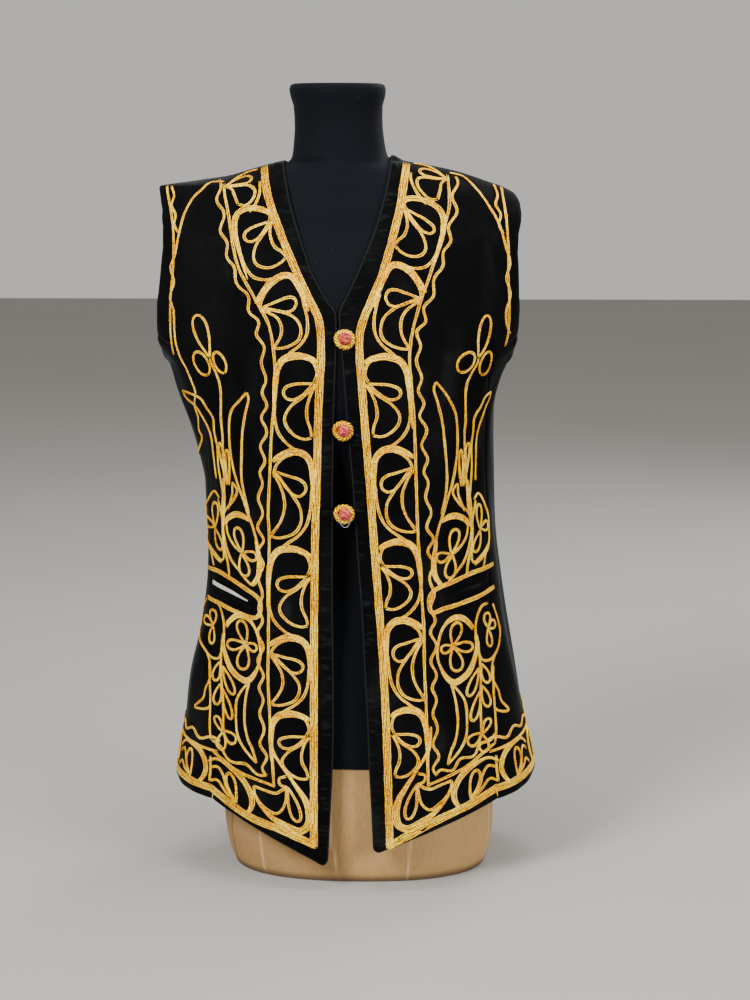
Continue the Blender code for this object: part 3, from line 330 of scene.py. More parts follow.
# Heights of the same rows on the seam, then on the armhole
SEAM_HEIGHT = {
    -1: (89, 115, 142, 169, 197, 225, 253, 282, 312, 343, 375, 408, 438, 467, 495, 520, 541,
         559, 573, 583, 604, 628, 652, 676, 697, 714, 726, 734, 738.2, 739),
    1: (91, 117, 143, 170, 197, 225, 253, 282, 312, 343, 375, 408, 438, 467, 495, 520, 541,
        559, 573, 583, 603, 626, 648, 670, 690, 706, 718, 726, 730.2, 731),
}
SEAM_ROWS = 20
SIDE_BACK_HEIGHT = {
    -1: (103, 124, 147, 172, 198) + SEAM_HEIGHT[-1][5:20],
    1: (117, 134, 154, 176, 200) + SEAM_HEIGHT[1][5:20],
}
# height and sideways distance of the side-front seam
SEAM_X = {
    -1: ((89, 154), (194, 151), (300, 150), (375, 147), (440, 148), (495, 152), (541, 156),
         (559, 165), (573, 181), (583, 197)),
    1: ((91, 154), (194, 152), (300, 150), (375, 149), (440, 149), (495, 151), (541, 154),
        (559, 160), (573, 170), (583, 184)),
}
# height and depth of the armhole edge away from the shoulder line
ARMHOLE_DEPTH = {
    -1: ((583, 38), (604, 46), (628, 49), (652, 48), (676, 45), (697, 38), (714, 29), (726, 18),
         (734, 9), (738.2, 2.5), (739, 0.2)),
    1: ((583, 37), (603, 44), (626, 47), (648, 46), (670, 44), (690, 38), (706, 29), (718, 18),
        (726, 9), (730.2, 2.5), (731, 0.2)),
}
# height and depth of the side-back seam
BACK_SEAM = ((95, 78), (200, 68), (300, 58), (420, 50), (500, 52), (550, 52), (573, 44), (583, 38))
ARM_LOW, JOIN = 552, 583
ARMHOLE_BACK = 1.05
NECK_DIP = 22
NECK_POINT = {-1: (59.4, 767.1), 1: (56.3, 773.2)}


def side_front_line(side, rows):
    """Points of the seam and armhole edge of a front, at row numbers with a fraction."""
    last = SEAM_ROWS - 1
    z = np.interp(rows, np.arange(len(SEAM_HEIGHT[side])), SEAM_HEIGHT[side])
    seam = VEST.on_face(side * table_at(SEAM_X[side], z), z)
    arm = VEST.on_side(-table_at(ARMHOLE_DEPTH[side], z), z, side)
    mix = np.clip(rows - (last - 1), 0, 1)[:, None]
    both = seam + (arm - seam) * mix
    return np.where(mix >= 1, arm, both)


def side_back_line(side, rows):
    """Points of the side-back seam and the armhole edge of the back."""
    last = SEAM_ROWS - 1
    heights = SIDE_BACK_HEIGHT[side] + SEAM_HEIGHT[side][SEAM_ROWS:]
    z = np.interp(rows, np.arange(len(heights)), heights)
    more = 1 + (ARMHOLE_BACK - 1) * np.clip(rows - last, 0, 1)
    y = np.where(z <= JOIN, table_at(BACK_SEAM, z), table_at(ARMHOLE_DEPTH[side], z) * more)
    return VEST.on_side(y, z, side)


def shoulder_height(x):
    """Height at which the ring is exactly as wide as x."""
    x = np.atleast_1d(np.asarray(x, float))
    low, high = np.full(x.shape, 700.0), np.full(x.shape, 774.0)
    for _ in range(40):
        mid = 0.5 * (low + high)
        left, right = VEST.ring(mid)[:2]
        wider = np.where(x < 0, left, right) > np.abs(x)
        low, high = np.where(wider, mid, low), np.where(wider, high, mid)
    return low


def back_top(x):
    """Height of the back's top edge: shoulder seams and the neckline between them."""
    neck = np.where(x < 0, NECK_POINT[-1][0], NECK_POINT[1][0])
    height = np.where(x < 0, NECK_POINT[-1][1], NECK_POINT[1][1])
    middle = 0.5 * (NECK_POINT[-1][1] + NECK_POINT[1][1]) - NECK_DIP
    inside = height + (middle - height) * (1 - (np.minimum(np.abs(x) / neck, 1)) ** 2.6)
    return np.where(np.abs(x) >= neck, shoulder_height(x), inside)


def even_columns(grid, columns):
    """Rows of points, each cut again into equal steps along its own length."""
    out = np.zeros((len(grid), columns + 1, 3))
    for r, row in enumerate(grid):
        run = np.concatenate(((0,), np.cumsum(np.linalg.norm(np.diff(row, axis=0), axis=1))))
        marks = np.linspace(0, run[-1], columns + 1)
        for k in range(3):
            out[r, :, k] = np.interp(marks, run, row[:, k])
    return out


WALK = 420               # points used to walk across a row before it is cut evenly


def front_rows(side, rows, columns):
    """Base points of a front from the opening edge to the seam, hem to shoulder."""
    count = len(FRONT_EDGE[side])
    at = np.linspace(0, count - 1, rows + 1)
    edge = at_row(FRONT_EDGE[side], at)
    outer = side_front_line(side, at)
    outer[:, 0] -= side * 0.5 * SEAM_GAP
    t = np.linspace(0, 1, WALK)[None, :]
    hem = edge[0, 1] + (outer[0, 2] - edge[0, 1]) * t
    top_x = edge[-1, 0] + (outer[-1, 0] - edge[-1, 0]) * t[0]
    top = shoulder_height(top_x)[None, :]
    x = edge[:, :1] + (outer[:, :1] - edge[:, :1]) * t
    up_in = ((edge[:, 1] - edge[0, 1]) / (edge[-1, 1] - edge[0, 1]))[:, None]
    up_out = ((outer[:, 2] - outer[0, 2]) / (outer[-1, 2] - outer[0, 2]))[:, None]
    z = hem + (top - hem) * (up_in + (up_out - up_in) * t)
    z = np.minimum(z, shoulder_height(x.ravel()).reshape(x.shape))
    grid = VEST.on_face(x, z)
    grid[-1, :, 1] = -0.5 * SEAM_GAP
    return even_columns(grid, columns)


def side_rows(side, rows, columns):
    """Base points of a side panel, from the side-front seam to the side-back seam."""
    at = np.linspace(0, SEAM_ROWS - 1, rows + 1)
    front, back = side_front_line(side, at), side_back_line(side, at)
    t = np.linspace(0, 1, WALK)[None, :]
    y0 = front[:, 1:2] + 0.5 * SEAM_GAP
    y1 = back[:, 1:2] - 0.5 * SEAM_GAP
    dip = (JOIN - ARM_LOW) * np.clip((front[:, 2:] - 400) / (JOIN - 400), 0, 1) ** 1.2
    y = y0 + (y1 - y0) * t
    z = front[:, 2:] + (back[:, 2:] - front[:, 2:]) * t - dip * (1 - (2 * t - 1) ** 2)
    return even_columns(VEST.on_side(y, z, side), columns)


def back_rows(rows, columns):
    """Base points of the back, from the left seam to the right one."""
    at = np.linspace(0, len(SEAM_HEIGHT[1]) - 1, rows + 1)
    left, right = side_back_line(-1, at), side_back_line(1, at)
    left[:, 1] += 0.5 * SEAM_GAP
    right[:, 1] += 0.5 * SEAM_GAP
    t = np.linspace(0, 1, WALK)[None, :]
    x = left[:, :1] + (right[:, :1] - left[:, :1]) * t
    hem = left[0, 2] + (right[0, 2] - left[0, 2]) * t
    top = back_top(x[-1])[None, :]
    up_l = ((left[:, 2] - left[0, 2]) / (left[-1, 2] - left[0, 2]))[:, None]
    up_r = ((right[:, 2] - right[0, 2]) / (right[-1, 2] - right[0, 2]))[:, None]
    z = hem + (top - hem) * (up_l + (up_r - up_l) * t)
    z = np.minimum(z, np.where(z > 700, shoulder_height(x.ravel()).reshape(x.shape), z))
    grid = VEST.on_face(x, z, 1)
    on_seam = np.abs(x[-1]) >= np.where(x[-1] < 0, NECK_POINT[-1][0], NECK_POINT[1][0])
    grid[-1, on_seam, 1] = 0.5 * SEAM_GAP
    return even_columns(grid, columns)


# %% [markdown]
# ## Laying a sheet
#
# Each panel starts as a flat grid, as a piece of cloth does on the table. Its
# points are laid on the base points, the creases are added, and a Solidify
# modifier gives it the thickness of velvet inwards. A number on each point keeps
# its distance from the free edge, which the material uses for the turned edge: its
# stitch line, and painted highlight along it and on its gathers.

# %% Helpers that make and finish a mesh
def none_selected():
    for thing in bpy.context.selected_objects:
        thing.select_set(False)


def alone(piece):
    """Selects one piece and nothing else."""
    none_selected()
    piece.select_set(True)
    bpy.context.view_layer.objects.active = piece


def flat_grid(name, across, along):
    """A grid primitive whose points run row by row."""
    none_selected()
    bpy.ops.mesh.primitive_grid_add(x_subdivisions=across, y_subdivisions=along, size=1)
    piece = bpy.context.object
    piece.name = name
    piece.data.name = name
    return piece


def laid(name, points, outward):
    """A grid primitive with its points laid on rows of millimetre points."""
    rows, columns = points.shape[:2]
    piece = flat_grid(name, columns - 1, rows - 1)
    mesh = piece.data
    co = np.zeros(len(mesh.vertices) * 3)
    mesh.vertices.foreach_get("co", co)
    co = co.reshape(-1, 3)
    c = np.rint((co[:, 0] + 0.5) * (columns - 1)).astype(int)
    r = np.rint((co[:, 1] + 0.5) * (rows - 1)).astype(int)
    mesh.vertices.foreach_set("co", placed(points[r, c]).ravel())
    mesh.update()
    middle = mesh.polygons[len(mesh.polygons) // 2]
    alone(piece)
    if np.dot(middle.normal, outward) < 0:
        bpy.ops.object.mode_set(mode="EDIT")
        bpy.ops.mesh.select_all(action="SELECT")
        bpy.ops.mesh.flip_normals()
        bpy.ops.object.mode_set(mode="OBJECT")
    return piece, r, c


def mark(piece, name, values):
    """Keeps a number on each point of a mesh."""
    field = piece.data.attributes.new(name, "FLOAT", "POINT")
    field.data.foreach_set("value", np.asarray(values, np.float32))


def thicken(piece, thickness):
    """Gives a laid sheet its thickness in metres, inwards, and smooth shading."""
    alone(piece)
    solid = piece.modifiers.new("Thickness", "SOLIDIFY")
    solid.thickness = thickness
    solid.offset = -1.0
    solid.use_even_offset = False
    bpy.ops.object.modifier_apply(modifier=solid.name)
    bpy.ops.object.shade_smooth_by_angle(angle=math.radians(50))


def finished(piece, material, slot, *nodes):
    """Gives a piece its material and its body, and hides the solids that it stands for."""
    piece.data.materials.clear()
    piece.data.materials.append(material)
    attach(piece, "root")
    if nodes:
        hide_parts(*nodes)
    print(f"{piece.name}: {len(piece.data.polygons)} faces")
    return piece


# %% [markdown]
# ## Writing materials as sums
#
# A material is a graph of nodes. Written as Python sums it reads like its idea:
# one class wraps a socket, and each operator adds a Math node. Everything else
# comes from one method that takes a node's type, settings and inputs.

# %% Materials written as sums
class Value:
    """A number that varies over a surface."""

    def __init__(self, paint, socket):
        self.paint = paint
        self.socket = socket

    def _with(self, operation, other, swap=False):
        pair = (other, self) if swap else (self, other)
        return self.paint.value("ShaderNodeMath", {0: pair[0], 1: pair[1]}, operation=operation)

    def __add__(self, other):
        return self._with("ADD", other)

    __radd__ = __add__

    def __sub__(self, other):
        return self._with("SUBTRACT", other)

    def __rsub__(self, other):
        return self._with("SUBTRACT", other, True)

    def __mul__(self, other):
        return self._with("MULTIPLY", other)

    __rmul__ = __mul__

    def sine(self):
        return self.paint.value("ShaderNodeMath", {0: self}, operation="SINE")

    def size(self):
        return self.paint.value("ShaderNodeMath", {0: self}, operation="ABSOLUTE")

    def band(self, low, high):
        """0 below low, 1 above high, soft between."""
        return self.paint.value("ShaderNodeMapRange", {"Value": self, "From Min": low,
                                                       "From Max": high},
                                interpolation_type="SMOOTHSTEP")


class Paint:
    """One material, its Principled shader and the nodes that feed it."""

    def __init__(self, name, rough, **constants):
        self.material = bpy.data.materials.new(name)
        self.material.use_nodes = True
        self.tree = self.material.node_tree
        self.shader = self.tree.nodes["Principled BSDF"]
        self.shader.inputs["Roughness"].default_value = rough
        for socket, number in constants.items():
            self.shader.inputs[socket.replace("_", " ")].default_value = number

    def node(self, kind, inputs=None, **settings):
        """A node of a type, with its settings, then the values or links of its sockets."""
        node = self.tree.nodes.new(kind)
        for key, setting in settings.items():
            if key == "stops":
                ramp = node.color_ramp
                while len(ramp.elements) < len(setting):
                    ramp.elements.new(1.0)
                for element, (place, colour) in zip(ramp.elements, setting):
                    element.position = place
                    element.color = (*colour, 1.0)
            else:
                setattr(node, key, setting)
        for key, given in (inputs or {}).items():
            if isinstance(given, Value):
                self.tree.links.new(given.socket, node.inputs[key])
            elif isinstance(given, bpy.types.NodeSocket):
                self.tree.links.new(given, node.inputs[key])
            else:
                node.inputs[key].default_value = given
        return node

    def value(self, kind, inputs=None, output=0, **settings):
        return Value(self, self.node(kind, inputs, **settings).outputs[output])

    def spot(self):
        return self.node("ShaderNodeTexCoord").outputs["Object"]

    def field(self, name):
        return self.value("ShaderNodeAttribute", output="Fac", attribute_name=name)

    def noise(self, scale, detail=3.0, vector=None, stretch=None):
        vector = vector or self.spot()
        if stretch:
            vector = self.node("ShaderNodeMapping", {"Vector": vector, "Scale": stretch}).outputs[0]
        return self.value("ShaderNodeTexNoise", {"Vector": vector, "Scale": scale,
                                                 "Detail": detail})

    def ramp(self, fac, *stops):
        return self.node("ShaderNodeValToRGB", {"Fac": fac}, stops=stops).outputs["Color"]

    def mix(self, share, a, b):
        node = self.node("ShaderNodeMix", data_type="RGBA")
        for socket, given in ((node.inputs[0], share), (node.inputs[6], a), (node.inputs[7], b)):
            if isinstance(given, Value):
                self.tree.links.new(given.socket, socket)
            elif isinstance(given, bpy.types.NodeSocket):
                self.tree.links.new(given, socket)
            else:
                socket.default_value = given if isinstance(given, float) else (*given, 1.0)
        return node.outputs[2]

    def show(self, colour, bump=None, height=0.001, strength=1.0, rough=None):
        """Feeds the shader's colour, bump and roughness."""
        self.tree.links.new(colour, self.shader.inputs["Base Color"])
        if bump is not None:
            node = self.node("ShaderNodeBump", {"Height": bump, "Strength": strength,
                                                "Distance": height})
            self.tree.links.new(node.outputs["Normal"], self.shader.inputs["Normal"])
        if rough is not None:
            self.tree.links.new(rough.socket, self.shader.inputs["Roughness"])
        return self.material


# %% [markdown]
# ## The velvet
#
# Cotton velvet is black because its pile swallows light. It only brightens where
# the pile is brushed over or seen edge on. So the base is almost black and a Sheen
# layer gives the edges their cool bloom. Slow noise paints lighter patches of brushed
# pile, their lightness painted sheen, and dusty patches. A painted highlight runs along
# each free edge and over the gathers near it. Fine noise under the bump is the pile itself.

# %% Velvet material
def velvet_paint():
    paint = Paint("black velvet", 0.85, Sheen_Weight=0.15, Sheen_Roughness=0.24,
                  Specular_IOR_Level=0.05)
    paint.shader.inputs["Sheen Tint"].default_value = (0.62, 0.70, 0.74, 1.0)
    pile = paint.noise(1400, 2.0)
    brushed_and_sheen = paint.noise(26, 4.0, stretch=(1.0, 1.0, 0.55))
    dust = paint.noise(310, 3.0).band(0.66, 0.80)
    rim = paint.field("rim")
    # Lightening the outermost 2 mm of a free edge is painted highlight on the rounded-over edge.
    edge_highlight = 1 - rim.band(0.4, 2.2)
    swept_and_sheen = paint.noise(9, 3.0, stretch=(1.0, 1.0, 0.7)).band(0.50, 0.72)
    # The brushed and swept patches lighten the base colour: brushed pile, its lightness painted
    # sheen.
    shade = brushed_and_sheen.band(0.46, 0.70) * 0.50 + swept_and_sheen * 0.35 + pile * 0.15
    colour = paint.ramp(shade, (0.05, (0.0001, 0.0002, 0.0002)), (0.5, (0.0014, 0.0017, 0.0016)),
                        (1.0, (0.0085, 0.0098, 0.0092)))
    # Near a free edge the gathers are also painted lighter, as painted highlight; in the bump they
    # are relief.
    gathers_and_highlight = paint.noise(150, 2.0, stretch=(0.30, 0.30, 1.5)).band(0.52, 0.70)
    margin = (1 - rim.band(9.0, 16.0)) * rim.band(0.5, 3.0)
    colour = paint.mix(gathers_and_highlight * margin * 0.40, colour, (0.010, 0.011, 0.011))
    colour = paint.mix(edge_highlight * 0.5, colour, (0.018, 0.018, 0.019))
    colour = paint.mix(dust * 0.14, colour, (0.03, 0.03, 0.03))
    stitch = ((rim - 3.0).size().band(0.7, 0.1)) * 0.5
    bump = pile * 0.35 + brushed_and_sheen * 0.5 - stitch + gathers_and_highlight * margin * 0.8
    return paint.show(colour, bump, 0.0006, 0.6, rough=0.78 + brushed_and_sheen * 0.16)


VELVET_LOOK = velvet_paint()

# %% [markdown]
# ## The fronts, sides and back
#
# The free edges are turned in, so the cloth there is rounded and a little puffed,
# with small gathers from the hand sewing. They are drawn in the distance from the
# edge, fading out where the gold band begins.

# %% Velvet panels
ROWS_FRONT, COLUMNS_FRONT = 250, 72
ROWS_SIDE, COLUMNS_SIDE = 170, 44
ROWS_BACK, COLUMNS_BACK = 200, 120
GATHER = 0.85            # height of the small gathers along a turned edge
FAR = 99.0               # distance from the free edge where there is none near
SEAM_DIP, SEAM_REACH = 0.9, 1.8  # depth of a seam's hollow and how far it reaches
HEM_CORNER = 9.0         # radius of the corner of opening edge and hem


def run_along(points, axis):
    """Distance walked along rows (axis 0) or across columns (axis 1)."""
    steps = np.linalg.norm(np.diff(points, axis=axis), axis=-1)
    pad = np.zeros_like(np.take(steps, [0], axis=axis))
    return np.concatenate((pad, np.cumsum(steps, axis=axis)), axis=axis)


def edge_shape(rim, along):
    """Lift near a free edge: rounded over, puffed, and gathered unevenly."""
    round_over = -1.1 * np.clip(1 - rim / 2.4, 0, 1) ** 2.2
    puff = 0.7 * np.exp(-((rim - 7.0) / 4.5) ** 2)
    waves = np.sin(along / 4.6 + 1.7 * np.sin(along / 29)) * (0.55 + 0.45 * np.sin(along / 37))
    return round_over + puff + GATHER * waves * np.exp(-((rim - 6.0) / 5.5) ** 2)


def rounded_corner(base, radius):
    """Draws the corner of opening edge and hem in to an arc."""
    rows, columns = base.shape[:2]
    across, along = run_along(base, 1), run_along(base, 0)
    u = np.clip(1 - across / radius, 0, 1)
    v = np.clip(1 - along / radius, 0, 1)
    new_across = across + radius * u * (1 - np.sqrt(1 - 0.5 * v * v))
    new_along = along + radius * v * (1 - np.sqrt(1 - 0.5 * u * u))
    c = np.clip(new_across / np.maximum(across[:, -1:], 1e-6) * (columns - 1), 0, columns - 1)
    r = np.clip(new_along / np.maximum(along[-1:, :], 1e-6) * (rows - 1), 0, rows - 1)
    c0, r0 = np.minimum(c.astype(int), columns - 2), np.minimum(r.astype(int), rows - 2)
    fc, fr = (c - c0)[..., None], (r - r0)[..., None]
    moved = ((base[r0, c0] * (1 - fc) + base[r0, c0 + 1] * fc) * (1 - fr)
             + (base[r0 + 1, c0] * (1 - fc) + base[r0 + 1, c0 + 1] * fc) * fr)
    near = (u > 0) & (v > 0)
    return np.where(near[..., None], moved, base)


def panel(name, base, free, outward):
    """A velvet panel from its base points; free says which of its four edges are free."""
    across, along = run_along(base, 1), run_along(base, 0)
    width, length = across[:, -1:], along[-1:, :]
    far = np.full(base.shape[:2], FAR)
    rims = {"start": across, "end": width - across, "hem": along, "top": length - along}
    lift = crease(base)
    seam_dip = np.zeros(lift.shape)
    for edge, distance in rims.items():
        if edge in free:
            far = np.minimum(far, distance)
            other = along if edge in ("start", "end") else across
            lift = lift + edge_shape(distance, other)
        else:
            seam_dip = np.minimum(seam_dip, -SEAM_DIP * np.exp(-(distance / SEAM_REACH) ** 2))
    points = base + VEST.normal(base) * (lift + seam_dip)[..., None]
    piece, r, c = laid(name, points, outward)
    mark(piece, "rim", far[r, c])
    thicken(piece, VELVET)
    area = float(np.sum(np.diff(across, axis=1)[:-1] * np.diff(along, axis=0)[:, :-1])) * 1e-6
    print(f"{name}: about {area:.4f} square metres")
    return piece, area


panels = {}
for side, word in ((-1, "left"), (1, "right")):
    base = rounded_corner(front_rows(side, ROWS_FRONT, COLUMNS_FRONT), HEM_CORNER)
    panels["front_" + word] = panel("velvet_front_" + word, base, ("start", "hem"), (0, -1, 0))
    base = side_rows(side, ROWS_SIDE, COLUMNS_SIDE)
    panels["side_" + word] = panel("velvet_side_" + word, base, ("hem", "top"), (side, 0, 0))
base = back_rows(ROWS_BACK, COLUMNS_BACK)
panels["back"] = panel("velvet_back", base, ("hem",), (0, 1, 0))
for node, (piece, area) in panels.items():
    finished(piece, VELVET_LOOK, "black_velvet", node)

# %% [markdown]
# ## Gold strands
#
# The gold is not one flat stripe: each line is a narrow braid with two ridges, and
# the heavy bands are several braids side by side. So a line of the pattern is
# split into strands 1.7 mm apart. Each strand is a small closed tube that lies on
# the creased velvet. Numbers on its points keep the distance along it, the place
# round it and its height, for the twist and for the painted shade in the grooves between strands.

# %% Strands laid on the cloth
STRAND = 1.70            # from strand to strand
STRAND_WIDE = 0.85       # half width of a strand
STRAND_HIGH = 0.84
STRAND_LIFT = 0.60       # centre of a strand above the velvet
STEP = 2.3               # length of one piece of a strand
SIDES = 6
FACE_SHARE = 0.985       # share of the half width past which no cord is drawn
CLOSED_UP = 0.22         # below this share of its spread an outer strand ends


class Face:
    """A face of the vest that cords are drawn on with two flat coordinates."""

    def __init__(self, kind, side=0):
        self.kind = kind
        self.side = side

    def points(self, rows):
        u, v = rows[:, 0], rows[:, 1]
        if self.kind == "side":
            return VEST.on_side(u, v, self.side)
        left, right = VEST.ring(v)[:2]
        return VEST.on_face(np.clip(u, -FACE_SHARE * left, FACE_SHARE * right), v,
                            -1 if self.kind == "front" else 1)


FRONT_FACE = Face("front")


def longest_run(keep):
    """First and last index of the longest stretch of true values."""
    best, start = (0, 0), None
    for k, true in enumerate(list(keep) + [False]):
        if true and start is None:
            start = k
        if not true and start is not None:
            if k - start > best[1] - best[0]:
                best = (start, k)
            start = None
    return best


def strands_of(face, rows, size=1.0, extra=0.0):
    """Centre points and outward directions of the strands of one line.

    Where a line narrows its strands draw together, and the outer ones end there.
    """
    flat = face.points(rows)
    length = np.linalg.norm(np.diff(flat, axis=0), axis=1).sum()
    rows = spline(rows, max(int(length / STEP), 3))
    base = face.points(rows)
    out = VEST.normal(base)
    ahead = np.gradient(base, axis=0)
    across = np.cross(out, ahead)
    across /= np.linalg.norm(across, axis=1, keepdims=True)
    run = np.linspace(0, length, len(rows))
    pitch = STRAND * size
    count = max(1, round(float(rows[:, 2].max()) / pitch))
    found = []
    close = (rows[:, 2] - 2 * STRAND_WIDE * size) / max((count - 1) * pitch, 1e-6)
    close = np.clip(close, 0, 1)
    for k in range(count):
        place = k - (count - 1) / 2
        aside = place * pitch * close
        first, last = longest_run((abs(place) < 0.75) | (close > CLOSED_UP))
        if last - first < 4:
            continue
        wobble = 0.14 * np.sin(run / 6.1 + 2.4 * k) + 0.08 * np.sin(run / 2.7 + 1.3 * k)
        spread = base + across * (aside + wobble * size)[:, None]
        spread = on_cloth(spread, STRAND_LIFT * size + extra + 0.35 * wobble)
        found.append((spread[first:last], out[first:last]))
    return found


def tubes(name, strands, sides=SIDES, wide=STRAND_WIDE, high=STRAND_HIGH):
    """One mesh of closed tubes along many centre lines, in millimetres."""
    points, faces, run_u, run_v, crown, tone = [], [], [], [], [], []
    first = 0
    turn = np.linspace(0, 2 * math.pi, sides, endpoint=False)
    for number, (centre, out) in enumerate(strands):
        ahead = np.gradient(centre, axis=0)
        across = np.cross(out, ahead)
        across /= np.linalg.norm(across, axis=1, keepdims=True)
        up = np.cross(ahead, across)
        up /= np.linalg.norm(up, axis=1, keepdims=True)
        n = len(centre)
        taper = np.ones(n)
        taper[0] = taper[-1] = 0.45
        taper[1] = taper[-2] = 0.85
        ring = (across[:, None] * (wide * np.cos(turn))[None, :, None]
                + up[:, None] * (high * np.sin(turn))[None, :, None]) * taper[:, None, None]
        points.append((centre[:, None] + ring).reshape(-1, 3))
        k = np.arange(n - 1)[:, None] * sides
        a = np.arange(sides)[None, :]
        b = (a + 1) % sides
        quads = np.stack((k + a, k + b, k + sides + b, k + sides + a), axis=-1).reshape(-1, 4)
        faces.extend((quads + first).tolist())
        faces.append([first + int(i) for i in range(sides - 1, -1, -1)])
        faces.append([first + (n - 1) * sides + int(i) for i in range(sides)])
        steps = np.linalg.norm(np.diff(centre, axis=0), axis=1)
        run = np.concatenate(((0,), np.cumsum(steps))) + 37.0 * number
        run_u.append(np.repeat(run, sides))
        run_v.append(np.tile(np.arange(sides) / sides, n))
        crown.append(np.tile(np.sin(turn), n))
        tone.append(np.full(n * sides, (number * 0.6180339) % 1.0))
        first += n * sides
    mesh = bpy.data.meshes.new(name)
    mesh.from_pydata(placed(np.vstack(points)).tolist(), [], faces)
    piece = bpy.data.objects.new(name, mesh)
    bpy.context.scene.collection.objects.link(piece)
    mark(piece, "run", np.concatenate(run_u))
    mark(piece, "round", np.concatenate(run_v))
    mark(piece, "crown", np.concatenate(crown))
    mark(piece, "tone", np.concatenate(tone))
    alone(piece)
    bpy.ops.object.shade_smooth()
    return piece

# %% [markdown]
# The braid is gold thread over a silk core. Its colour is painted from dark orange
# shade up to pale yellow highlight on its ridges, and the grooves between the strands
# get painted orange brown shade. The twist is too fine for geometry, so stripes across
# each strand, painted lighter and darker, come from the distance along it.

# %% Gold material
def gold_paint():
    paint = Paint("gold cord", 0.42, Metallic=0.72, Specular_IOR_Level=0.3)
    paint.shader.inputs["Specular Tint"].default_value = (1.0, 0.78, 0.35, 1.0)
    run, turn, tone = paint.field("run"), paint.field("round"), paint.field("tone")
    # groove marks the sides and underside of each strand, which are painted dark as shade between
    # the strands.
    groove_shade = 1 - paint.field("crown").band(0.10, 0.86)
    twist = ((run * 3.9 + turn * 6.2832)).sine() * 0.5 + 0.5
    grain_and_glints = paint.noise(520, 4.0).band(0.36, 0.64)
    cloud = paint.noise(42, 3.0).band(0.34, 0.66)
    # The ramp runs from painted shade, dark orange, to painted highlight, pale yellow; twist,
    # grain, tone and cloud place them along each strand, so grain also brings painted glints.
    shade = twist * 0.22 + grain_and_glints * 0.42 + tone * 0.14 + cloud * 0.22
    colour = paint.ramp(shade, (0.14, (0.46, 0.140, 0.001)), (0.40, (0.88, 0.41, 0.001)),
                        (0.62, (1.00, 0.62, 0.005)), (0.88, (1.00, 0.92, 0.20)))
    colour = paint.mix(groove_shade * 0.95, colour, (0.17, 0.046, 0.001))
    return paint.show(colour, twist * 0.8 + grain_and_glints * 0.5, 0.0005, 0.9, rough=0.30 + grain_and_glints * 0.24)


GOLD = gold_paint()

# %% [markdown]
# ## The pattern
#
# Each front carries a heavy edge band, an inner line and, between them, a chain of
# curled leaves that turn left and right by turns. Between two stations of the
# border a leaf is drawn in shares: 0 to 1 across, and 0 to 1 along. The tables
# below hold one leaf; a function lays it along the border.

# %% Tables of the border
LINE = 3.4               # width of one braid, two strands
BAND = 8.8
# Border stations at the top of each scroll: inner line x, z, then edge band x, z
STATIONS = {
    -1: ((-120, 743, -85, 759), (-115, 716, -74, 722), (-89, 628, -48, 661), (-68, 567, -23, 571),
         (-73, 469, -29, 472), (-81, 366, -35, 367), (-84, 271, -39, 274), (-85, 190, -42, 192),
         (-84, 112, -43, 113)),
    1: ((114, 753, 77, 765), (116, 718, 71, 735), (93, 640, 54, 672), (72, 566, 26, 571),
        (74, 473, 30, 475), (76, 374, 34, 375), (79, 291, 38, 293), (80, 196, 42, 197),
        (81, 115, 43, 116)),
}
BAND_FRONT = {
    -1: ((-79.5, 759.8), (-75, 740), (-70, 721), (-54.5, 679.5), (-33.5, 632), (-20.5, 604),
         (-18.8, 572), (-20.8, 541), (-23.5, 506), (-27.2, 441), (-31.4, 375), (-34.1, 311),
         (-36.2, 248), (-39, 154.5), (-42, 47)),
    1: ((71.8, 763.0), (69, 742), (63, 710), (48, 657), (36, 628), (24.5, 602), (20.8, 578),
        (23.2, 520), (27.2, 440), (30.2, 367), (34.1, 291), (36.7, 227), (38, 155), (38.5, 47)),
}
BAND_HEM = {
    -1: ((-39, 49.5), (-77, 65), (-112.5, 77.3), (-154.2, 101)),
    1: ((35, 49), (58, 61), (91, 77), (124, 90.5), (154.2, 104)),
}
LINE_FRONT = {
    -1: ((-120.5, 741.5), (-119, 730), (-115.3, 714), (-110, 682), (-103, 655), (-86, 624),
         (-72.4, 598), (-67.5, 565), (-68, 527), (-72.5, 490), (-76.5, 448), (-80.5, 405),
         (-80.5, 368), (-84, 267), (-86, 220), (-84, 150), (-83, 110)),
    1: ((114.5, 751), (116, 735), (115.5, 716), (107, 688), (96, 653), (85, 624), (76, 594),
        (72, 567), (73, 540), (75, 500), (75.5, 440), (76, 375), (78, 319), (79.5, 279),
        (79, 240), (80, 197), (80, 154), (80.5, 112)),
}
LINE_HEM = {
    -1: ((-81.5, 111.5), (-112, 120.5), (-132, 129), (-152, 141.5)),
    1: ((79, 114), (106, 124.5), (125, 133.5), (152.5, 151.5)),
}
WAVE = {
    -1: ((-127, 745.5), (-123, 715), (-118, 681), (-106, 646), (-91, 615), (-80, 574), (-79.5, 513),
         (-84, 456), (-88.5, 420), (-90, 351), (-93, 254), (-94, 166), (-91, 122)),
    1: ((123, 749), (121, 716), (113, 679), (101, 645), (91, 617), (81.5, 584), (82, 541),
        (84.5, 491), (86, 440), (88, 395), (89, 330), (89, 279), (89, 182), (89, 124)),
}
WAVE_HEM = {
    -1: ((-91, 123), (-118, 131), (-136, 140), (-152, 151)),
    1: ((89, 125), (112, 135), (130, 145), (152, 161)),
}
WAVE_SWING = 2.6
WAVE_PITCH = 29.0

